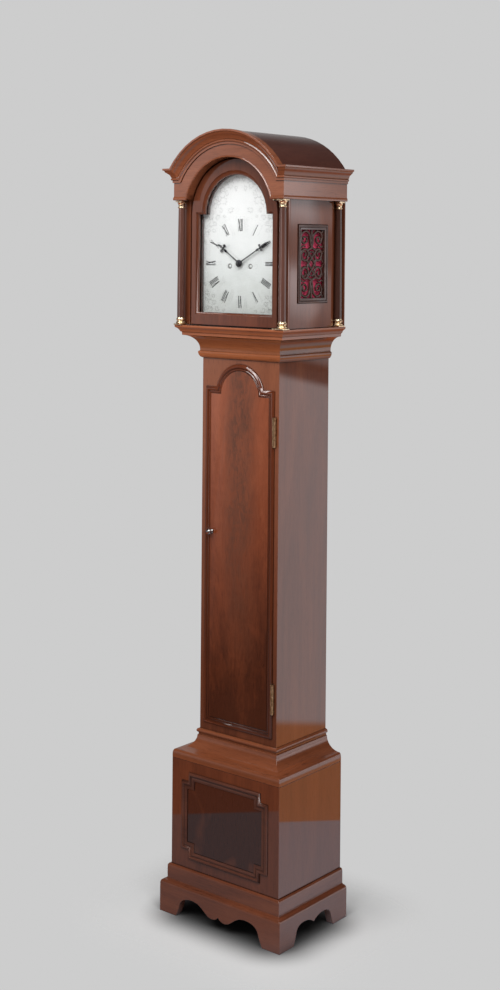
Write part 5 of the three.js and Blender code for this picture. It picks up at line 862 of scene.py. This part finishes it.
# Letters, with heights as shares: width, strokes with their own widths, places of the serifs
LETTERS = {
    "I": (3.1, (((1.55, 0), (1.55, 1), THICK * 0.8),), ((1.55, 0), (1.55, 1))),
    "V": (6.8, (((1.2, 1), (3.4, 0), THICK), ((5.7, 1), (3.4, 0), THIN)), ((1.2, 1), (5.7, 1))),
    "X": (7.4, (((1.2, 1), (6.2, 0), THICK), ((6.2, 1), (1.2, 0), THIN)),
          ((1.2, 0), (1.2, 1), (6.2, 0), (6.2, 1))),
}


def dial_point(radius, angle, side=0.0):
    """A place on the dial: radius along a bearing from twelve, and a step sideways."""
    out = Vector((math.sin(angle), math.cos(angle)))
    right = Vector((out.y, -out.x))
    place = out * radius + right * side
    return (place.x * MM, DIAL_Z + place.y * MM)


def dial_numerals():
    bm = bmesh.new()
    for hour, word in enumerate(NUMERALS):
        angle = math.radians(30 * hour)
        left = -sum(LETTERS[letter][0] for letter in word) / 2
        for letter in word:
            wide, strokes, serifs = LETTERS[letter]
            for at, level in serifs:
                strokes += (((at - SERIF_REACH, level), (at + SERIF_REACH, level), SERIF),)
            for *ends, width in strokes:
                line = [dial_point(NUMERAL_IN + NUMERAL_TALL * up, angle, left + at) for at, up in ends]
                add_stroke(bm, line, [width * MM] * 2, MARK_FACE)
            left += wide
    add_piece("dial_numerals", bm, black_ink, "case")

    bm = bmesh.new()
    for minute in range(60):
        angle = math.radians(6 * minute)
        line = [dial_point(MINUTE_IN, angle), dial_point(MINUTE_OUT if minute % 5 else FIVE_OUT, angle)]
        add_stroke(bm, line, [MINUTE_STROKE * MM] * 2, MARK_FACE)
    add_piece("dial_minute_marks", bm, grey_ink, "case")

    bm = bmesh.new()
    for way in (-1, 1):
        centre = (way * WINDING_X, WINDING_Z)
        ring = [polar(centre, WINDING_RING, t) for t in steps(48, 0, 2 * math.pi)]
        add_stroke(bm, in_mm(ring), [WINDING_STROKE * MM] * len(ring), MARK_FACE)
    add_piece("winding_rings", bm, black_ink, "case")


# Scrolls in a quarter of the dial and in half of its arch: place, radius, first bearing, way round
SCROLL_TURNS = 1.25
FINEST_LINE = 0.16
CORNER_SCROLLS = (
    (84, 86, 10.5, 0.6, 1), (95, 64, 5.5, -1.4, -1), (64, 98, 6, 3, -1),
    (97.5, 46, 3.8, -1.4, 1), (45, 102, 3.4, 3, 1), (97, 100, 4.5, 2.4, 1),
    (76, 70, 5, -2.4, -1), (71, 84, 4.2, 1.2, 1), (88, 71, 4, 0.2, -1),
    (96, 78, 4, 1.8, 1), (80, 101, 4, -0.5, -1),
)
ARCH_SCROLLS = (
    (47, 28, 11, -0.6, 1), (70, 17, 8, 3.4, -1), (27, 62, 9, 2.6, -1),
    (50, 53, 7.5, -1, 1), (9, 75, 6, 0.4, 1), (29, 10, 7, 2.2, 1),
    (66, 36, 6, 0.8, -1), (38, 45, 6, 1.9, -1), (12, 57, 5, -2, 1),
    (56, 8, 5, 0.9, 1), (79, 4, 4.5, 1.1, 1), (41, 66, 5, 0.3, 1),
)


def spiral(centre, radius, start, way):
    points = []
    for share in steps(40, 0, 1):
        reach = radius * (1 - share) ** 0.85 + 0.06 * radius
        points.append(polar(centre, reach, start + way * 2 * math.pi * SCROLL_TURNS * share))
    return points


def leaf(root, bearing, length, bend):
    return [polar(root, length * share, bearing + bend * share) for share in steps(8, 0, 1)]


def scroll_work(bm, centre, radius, start, way, mirror):
    """One foliate scroll: a fine spiral stem with broad leaves on both sides."""
    stem = spiral(centre, radius, start, way)
    lines = [(stem, [0.45 - 0.2 * i / len(stem) for i in range(len(stem))])]
    for i in range(1, 30, 2):
        (x0, z0), (x1, z1) = stem[i], stem[i + 1]
        heading = math.atan2(z1 - z0, x1 - x0)
        side = way if i % 4 == 1 else -way
        size = radius * (0.62 if side == -way else 0.30) * (1 - i / 44)
        blade = leaf(stem[i], heading + side * 0.75, size, side * 1.1)
        lines.append((blade, [0.2 + 0.16 * size * math.sin(math.pi * k / 8) for k in range(9)]))
    for points, widths in lines:
        placed = [(mirror * x * MM, z * MM) for x, z in points]
        add_stroke(bm, placed, [max(w, FINEST_LINE) * MM for w in widths], MARK_FACE)


def dial_engraving():
    middle = DIAL_Z / MM
    for name, material, up in (("dial_engraving_low", grey_ink, -1), ("dial_engraving_high", pale_ink, 1)):
        bm = bmesh.new()
        for mirror in (-1, 1):
            for x, z, radius, start, way in CORNER_SCROLLS:
                scroll_work(bm, (x, middle + up * z), radius, up * start, up * way, mirror)
            if up > 0:
                for x, z, radius, start, way in ARCH_SCROLLS:
                    scroll_work(bm, (x, ARCH_CENTRE_Z + z), radius, start, way, mirror)
        add_piece(name, bm, material, "case")


dial_numerals()
dial_engraving()


# Gut lines: each has an outer fall that winds up on its barrel, an inner fall and the loop under the pulley

GUT_RADIUS = 0.8 * MM
PULLEY_RADIUS = 16 * MM
PULLEY_DROP = 18 * MM
KNOT = ((0, -0.2), (1.2, 0.0), (1.9, 0.8), (2.0, 1.6), (1.5, 2.6), (1.9, 3.0), (1.2, 4.1), (0, 4.4))


def gut_lines(side):
    node = side + "_line"
    low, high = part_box(node)
    weight_low, weight_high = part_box(side + "_weight")
    way = 1 if low.x + high.x > 0 else -1
    y = (low.y + high.y) / 2
    middle = (weight_low.x + weight_high.x) / 2
    axle = weight_high.z - PULLEY_DROP
    outer, inner = middle + way * PULLEY_RADIUS, middle - way * PULLEY_RADIUS
    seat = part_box("seat_board")[1].z
    for name, x, top in (("outer", outer, WINDING_Z * MM), ("inner", inner, seat)):
        bm = bmesh.new()
        add_tube(bm, [(x, y, z) for z in steps(24, axle, top)], GUT_RADIUS)
        piece = add_piece(f"{node}_{name}", bm, gut, "case", [node])
        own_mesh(piece)
    bm = bmesh.new()
    loop = [polar((middle, axle), PULLEY_RADIUS, t) for t in steps(24, math.pi, 2 * math.pi)]
    add_tube(bm, [(x, y, z) for x, z in loop], GUT_RADIUS)
    add_piece(f"{node}_loop", bm, gut, side + "_weight", [node])
    bm = bmesh.new()
    revolve(bm, in_mm(KNOT), (inner, y, seat + 0.3 * MM), 14)
    add_piece(f"{node}_knot", bm, gut, "case", [node])


for side in TRAINS:
    gut_lines(side)


# Metal pieces

for place in ("upper_case", "lower_case", "upper_door", "lower_door"):
    dressed(f"hinge_{place}_leaf", old_brass, 0.15 * MM)
for node in (
    "hood_door_pivot_lower", "hood_door_pivot_upper", "front_plate", "back_plate", "centre_wheel",
    "third_wheel", "escape_wheel", "strike_barrel", "going_barrel",
):
    dressed(node, brass)
for node in ("anchor", "hammer", "pendulum_rod"):
    dressed(node, steel)
for node in ("hour_hand", "minute_hand"):
    dressed(node, black_steel, 0.18 * MM)
dressed("dial_plate", silver)
dressed("hood_door_glass", glass, 0.2 * MM)


def kept_faces(node, keep):
    """A copy of a CAD solid with only the faces whose middle passes a test."""
    bm = bmesh.new()
    bm.from_mesh(NODES[node].data)
    dropped = [f for f in bm.faces if not keep(f.calc_center_median())]
    bmesh.ops.delete(bm, geom=dropped, context="FACES")
    return bm


def turned_weight(side):
    """Brass shell with a domed shoulder; the stirrup and pulley above it follow the CAD."""
    node = side + "_weight"
    low, _, centre = foot_of(node)
    radius, tall = 23.5, 150.0
    shoulder = low.z + tall * MM
    bm = kept_faces(node, lambda middle: middle.z > shoulder + 0.1 * MM)
    profile = [(0, 0), (radius - 2, 0), (radius - 0.6, 0.6), (radius, 2), (radius, tall - 6)]
    for inset, drop in ((0.3, 4.6), (1.5, 3), (4.5, 1), (8, 0), (radius, 0)):
        profile.append((radius - inset, tall - drop))
    revolve(bm, in_mm(profile), centre, 48)
    add_piece("shell_" + node, bm, brass, node, [node])


def turned_bob():
    """Lens with a narrow flat edge."""
    low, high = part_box("pendulum_bob")
    radius, half = (high.z - low.z) / 2, (high.y - low.y) / 2
    edge = 0.17
    front = []
    for share in steps(14, 0, 1):
        front.append((radius * share, half * (edge + (1 - edge) * (1 - share**2.2))))
    bm = bmesh.new()
    revolve(bm, [(r, -out) for r, out in front] + front[::-1], (low + high) / 2, 56, forward=True)
    add_piece("lens_bob", bm, brass, "pendulum", ["pendulum_bob"])


def turned_bell():
    low, high, centre = foot_of("bell")
    radius, tall = (high.y - low.y) / 2, high.z - low.z
    wall, hole = 3 * MM, 2.3 * MM
    quarter = steps(18, 0, math.pi / 2)
    outside, inside = (
        [(hole + (radius - thick - hole) * math.cos(t), (tall - thick) * math.sin(t)) for t in quarter]
        for thick in (0, wall)
    )
    bm = bmesh.new()
    revolve(bm, outside + inside[::-1] + outside[:1], centre, 48)
    bmesh.ops.remove_doubles(bm, verts=bm.verts, dist=1e-6)
    add_piece("bell_shell", bm, brass, BODY["bell"], ["bell"])


KNOB_Z = 831.0
KNOB_STEM = [(0, -0.5), (4.9, -0.5), (4.9, 1.4), (4.4, 2.0), (3.2, 2.8), (2.9, 4.0), (3.2, 5.4)]


def turned_knob():
    """Polished iron knob on its stem; the latch arm behind the door follows the CAD."""
    low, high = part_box("door_knob")
    face = low.y + 15 * MM
    bm = kept_faces("door_knob", lambda middle: middle.y > face)
    ball = [(max(6.5 * math.sin(t), 0), 10.2 - 4.8 * math.cos(t)) for t in steps(14, 0.55, math.pi)]
    centre = ((low.x + high.x) / 2, face, KNOB_Z * MM)
    revolve(bm, in_mm(KNOB_STEM + ball), centre, 32, forward=True)
    add_piece("knob_turned", bm, dark_steel, "door_knob", ["door_knob"])


def add_plate(bm, outline, bearing, y, thick):
    """A flat plate in front of the dial with slightly rounded edges; the outline is in millimetres."""
    rings = []
    mid = sum((Vector(p) for p in outline), Vector((0, 0))) / len(outline)
    for shrink, level in ((0, thick), (0, 0.25), (0.12, 0)):
        ring = []
        for point in outline:
            side, out = Vector(point).lerp(mid, shrink)
            x, z = dial_point(out, bearing, side)
            ring.append(bm.verts.new((x, y + level * MM, z)))
        rings.append(ring)
    bridge(bm, rings)
    bm.faces.new(rings[0])
    bm.faces.new(rings[-1])


def disc(x, z, radius):
    return [polar((x, z), radius, t) for t in circle(20)]


# Hands: bearing, distance of the cross from the middle, stand-off from the dial, outlines of the ornament
HAND_THICK = 1.2
HANDS = {
    "hour_hand": (305, 56, 2.5, (
        disc(-6.6, 0, 3.5), disc(6.6, 0, 3.5), disc(0, 0, 3.4), disc(0, 7.6, 2.8),
        [(-1.6, -14), (-2.8, -10), (-1.8, -5), (-1.6, 0), (1.6, 0), (1.8, -5), (2.8, -10), (1.6, -14)],
        [(-5.5, -1.3), (5.5, -1.3), (5.5, 1.3), (-5.5, 1.3)],
    )),
    "minute_hand": (60, 69, 5.3, (
        disc(-5.6, 0, 2.8), disc(5.6, 0, 2.8), disc(0, 0, 3.2),
        [(-1.4, 0), (-2.6, 5), (-3.1, 10), (-2.9, 15), (-1.8, 21), (-0.3, 26.5), (0.3, 26.5), (1.8, 21),
         (2.9, 15), (3.1, 10), (2.6, 5), (1.4, 0)],
        [(-4.8, -1.1), (4.8, -1.1), (4.8, 1.1), (-4.8, 1.1)],
    )),
}


def hand_ornament(node):
    """Lobes of the cross and the blade of a hand, laid over its stem."""
    bearing, cross, stand_off, shapes = HANDS[node]
    front = DIAL_FACE - (stand_off + HAND_THICK) * MM
    bm = bmesh.new()
    for order, outline in enumerate(shapes):
        placed = [(side, cross + out) for side, out in outline]
        add_plate(bm, placed, math.radians(bearing), front - (0.12 + 0.02 * order) * MM, 1.0)
    add_piece(node + "_cross", bm, black_steel, node)


def hand_cap():
    """Domed collet that covers the middle of the hands."""
    radius, rise = 8.2, 3.4
    low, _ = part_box("minute_hand")
    dome = [(radius * math.cos(t), rise * math.sin(t)) for t in steps(8, 0, math.pi / 2)[:-1]]
    profile = [(0, -0.4), (radius, -0.4)] + dome + [(0, rise)]
    bm = bmesh.new()
    revolve(bm, in_mm(profile), (0, low.y + 3.5 * MM, DIAL_Z), 32, forward=True)
    add_piece("hand_collet", bm, black_steel, "minute_hand")


def winding_square(side):
    """Bright end of a winding square inside its hole."""
    low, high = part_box(side + "_barrel")
    way = -1 if low.x + high.x < 0 else 1
    profile = [(0, 0), (2.9, 0), (3.1, 0.3), (3.1, 0.9), (2.7, 1.2), (0, 1.3)]
    bm = bmesh.new()
    revolve(bm, in_mm(profile), (way * WINDING_X * MM, low.y + 0.6 * MM, WINDING_Z * MM), 24, forward=True)
    add_piece(side + "_winder_end", bm, silver, side + "_barrel")


for node in HANDS:
    hand_ornament(node)
for side in TRAINS:
    winding_square(side)
for side in TRAINS:
    turned_weight(side)
turned_bob()
turned_bell()
turned_knob()
hand_cap()


# Floor, world, lamps and camera

BACKGROUND = (0.61, 0.61, 0.61, 1)
FLOOR_RADIUS = 1.6
FLOOR_STOPS = [(0.3, (0.66, 0.66, 0.66)), (0.7, (0.68, 0.68, 0.68))]
FLOOR_FADE = 0.22

# Painted shadow close to the clock: moved right and forward, drawn in, its reach from there and its darkest
# share
SHADE_X, SHADE_Y = 0.010, 0.012
SHADE_INSET = 0.07
SHADE_REACH = (0.03, 0.145)
SHADE_DEPTH = 0.08

# The floor in reflections: a lane beside the clock with painted shade, dimmer in front than towards the wall
LANE_WAY = (0.706, 0.704)
LANE_EDGE = (0.722, 0.732)
LANE_DIM = (-0.15, 0.25)
LANE_FRONT = (0.25, 0.25, 0.275, 1)
LANE_REAR = (0.88, 0.90, 1.0, 1)

# The room in reflections: the wall's direction, and heights as slopes of the ray
WALL_WAY = (0.63, 0.775)
WALL_SPREAD = (0.55, 0.88)
WALL_TOP = (0.13, 0.30)
BOARDS = (1.1, 0.41, 0.15, 1)
BOARDS_FRONT = (0.47, 0.11, 0.04, 1)
CARPET = (0.7, 0.68, 0.7, 1)
HAZE = (1.0, 0.97, 1.0, 1)
WINDOW_LIGHT = 5.0

# Light of the wall by the slope of the ray, worked out from how bright the reflections down the
# clock's right side are in the photograph
WALL_GLOW = (
    (-0.30, 1.20), (-0.20, 1.25),
    (-0.0880, 1.45), (-0.0840, 0.15), (-0.0745, 0.03), (-0.070, 0.70), (-0.0584, 0.85), (-0.0483, 1.0),
    (-0.0417, 1.6), (-0.0352, 2.05), (-0.022, 2.5), (-0.0155, 2.2), (-0.0122, 1.3), (-0.0056, 0.55),
    (0.001, 0.5), (0.0108, 0.7), (0.0141, 1.0), (0.0174, 1.55), (0.024, 2.2), (0.034, 1.75), (0.06, 1.65),
)

# Lamps: name, place, target, power
LAMPS = (
    ("key", (-0.2, -2.1, 3.1), (0, 0, 1.0), 71),
    ("fill", (1.9, -1.3, 3.1), (0, 0, 0.7), 62),
)
LAMP_SIZE = 1.8


def apart(graph, x, y, inset=0.0):
    """Distance over the floor from the clock's outline, or from one drawn in by an inset."""
    squares = []
    for value, reach in ((x, CAD_BOX[1].x), (y, CAD_BOX[1].y)):
        beyond = graph.minus(graph.size(value), reach - inset)
        squares.append(graph.math("POWER", graph.math("MAXIMUM", beyond, 0.0), 2.0))
    return graph.math("SQRT", graph.plus(*squares))


def toward(graph, way, x, y):
    """How far a place or a ray goes in a level direction."""
    return graph.line(y, way[1], graph.times(x, way[0]))


def make_floor():
    """Pale floor with a painted shadow close to the clock, that fades away all round; reflections show a lane
    of it.
    """
    bm = bmesh.new()
    bmesh.ops.create_circle(bm, cap_ends=True, segments=96, radius=FLOOR_RADIUS)
    mesh = bpy.data.meshes.new("floor")
    bm.to_mesh(mesh)
    bm.free()
    floor = bpy.data.objects.new("floor", mesh)
    bpy.context.scene.collection.objects.link(floor)
    graph = Surface("pale_floor", Roughness=0.9, Specular_IOR_Level=0.0)
    mirror = graph.add("ShaderNodeLightPath").outputs["Is Glossy Ray"]
    x, y, _ = graph.split()
    fade = graph.span(apart(graph, x, y), 0.0, FLOOR_FADE, 1.0, 0.0, smooth=True)
    lane = graph.span(graph.size(toward(graph, LANE_WAY, x, y)), *LANE_EDGE, 1.0, 0.0)
    # painted shade in reflections of the floor: darker in front, brighter towards the wall
    dim = graph.span(toward(graph, WALL_WAY, x, y), *LANE_DIM, smooth=True)
    reflected_lane = graph.mix(dim, LANE_FRONT, LANE_REAR)
    # painted shadow on the floor around the clock's foot
    cast = apart(graph, graph.minus(x, SHADE_X), graph.plus(y, SHADE_Y), SHADE_INSET)
    painted_shadow = graph.span(cast, *SHADE_REACH, SHADE_DEPTH, 1.0, smooth=True)
    fleck = graph.ramp(graph.noise((300, 300, 300)), FLOOR_STOPS)
    pale = graph.mix(1.0, fleck, graph.grey(painted_shadow), "MULTIPLY")
    colour = graph.mix(mirror, pale, reflected_lane)
    mesh.materials.append(graph.done(Alpha=graph.blend(mirror, fade, lane), Base_Color=colour))


def make_world():
    """Pale grey to the camera and soft light; reflections show a made-up room.

    It has a pale wall to the right and behind, boards and a carpet below it, haze and a tall window in front,
    and is dark elsewhere.
    """
    world = bpy.data.worlds.new("studio")
    bpy.context.scene.world = world
    world.use_nodes = True
    graph = Graph(world.node_tree, "Generated")
    ray = graph.add("ShaderNodeLightPath").outputs
    x, y, z = graph.split()
    back = toward(graph, WALL_WAY, x, y)
    across = toward(graph, (WALL_WAY[1], -WALL_WAY[0]), x, y)

    wall = graph.span(back, *WALL_SPREAD, smooth=True)
    lean = graph.times(graph.plus(across, 0.03), graph.span(z, -0.30, -0.09, 0.0, 0.2))
    slant = graph.minus(z, lean)
    rear = graph.times(graph.span(across, -0.046, -0.039, 0.65, 0.0), graph.span(z, -0.07, -0.05))
    top = graph.span(z, *WALL_TOP, 1.0, 0.03, smooth=True)
    glow = graph.times(graph.curve(slant, WALL_GLOW), top, graph.minus(1.0, rear))
    below = graph.mix(graph.span(z, -0.50, -0.42), CARPET, BOARDS)
    lit = graph.join(glow, graph.times(glow, 0.97), glow)
    behind = graph.mix(graph.span(slant, -0.3000, -0.2965), below, lit)

    haze = graph.times(
        graph.span(back, -0.92, -0.70, 1.0, 0.0, smooth=True),
        graph.span(z, *WALL_TOP, 1.0, 0.0, smooth=True),
        graph.span(z, -0.27, -0.04, 0.0, 0.62),
        graph.span(across, -0.03, 0.012, 1.05, 0.45),
    )
    window = graph.times(
        graph.span(across, 0.40, 0.44), graph.span(across, 0.54, 0.58, 1.0, 0.0),
        graph.span(back, -0.3, -0.1, WINDOW_LIGHT, 0.0),
    )
    dark = graph.plus(graph.span(z, 0.25, 0.5, 0.03, 0.05), graph.span(across, -0.95, -0.75, 0.35, 0.0))
    dark = graph.line(window, graph.span(z, -0.11, -0.07), dark)
    ahead = graph.mix(haze, graph.grey(dark), HAZE)
    ahead = graph.mix(graph.span(z, -0.325, -0.310), BOARDS_FRONT, ahead)

    soft = graph.grey(graph.span(z, -0.7, 0.3, 0.52, 0.24))
    light = graph.mix(ray["Is Glossy Ray"], soft, graph.mix(wall, ahead, behind))
    seen = graph.math("MAXIMUM", ray["Is Camera Ray"], ray["Is Transmission Ray"])
    graph.dress(world.node_tree.nodes["Background"], Color=graph.mix(seen, light, BACKGROUND))


def add_lamp(name, place, target, power):
    data = bpy.data.lights.new(name, "AREA")
    data.size = LAMP_SIZE
    data.energy = power
    lamp = bpy.data.objects.new(name, data)
    bpy.context.scene.collection.objects.link(lamp)
    lamp.location = place
    lamp.rotation_euler = (Vector(target) - Vector(place)).to_track_quat("-Z", "Y").to_euler()
    lamp.visible_camera = False


def make_camera():
    data = bpy.data.cameras.new("photo_camera")
    data.sensor_fit = "VERTICAL"
    data.sensor_height = CAMERA_SENSOR
    data.lens = CAMERA_LENS
    data.shift_y = CAMERA_SHIFT
    camera = bpy.data.objects.new("photo_camera", data)
    bpy.context.scene.collection.objects.link(camera)
    turn = Matrix.Rotation(CAMERA_YAW, 3, "Z") @ Matrix.Rotation(CAMERA_ROLL, 3, "Y")
    right, ahead, up = turn.col
    camera.matrix_world = Matrix.Translation(CAMERA_PLACE) @ Matrix((right, up, -ahead)).transposed().to_4x4()
    bpy.context.scene.camera = camera


make_floor()
make_world()
for lamp in LAMPS:
    add_lamp(*lamp)
make_camera()
bpy.context.scene.view_settings.view_transform = "Standard"
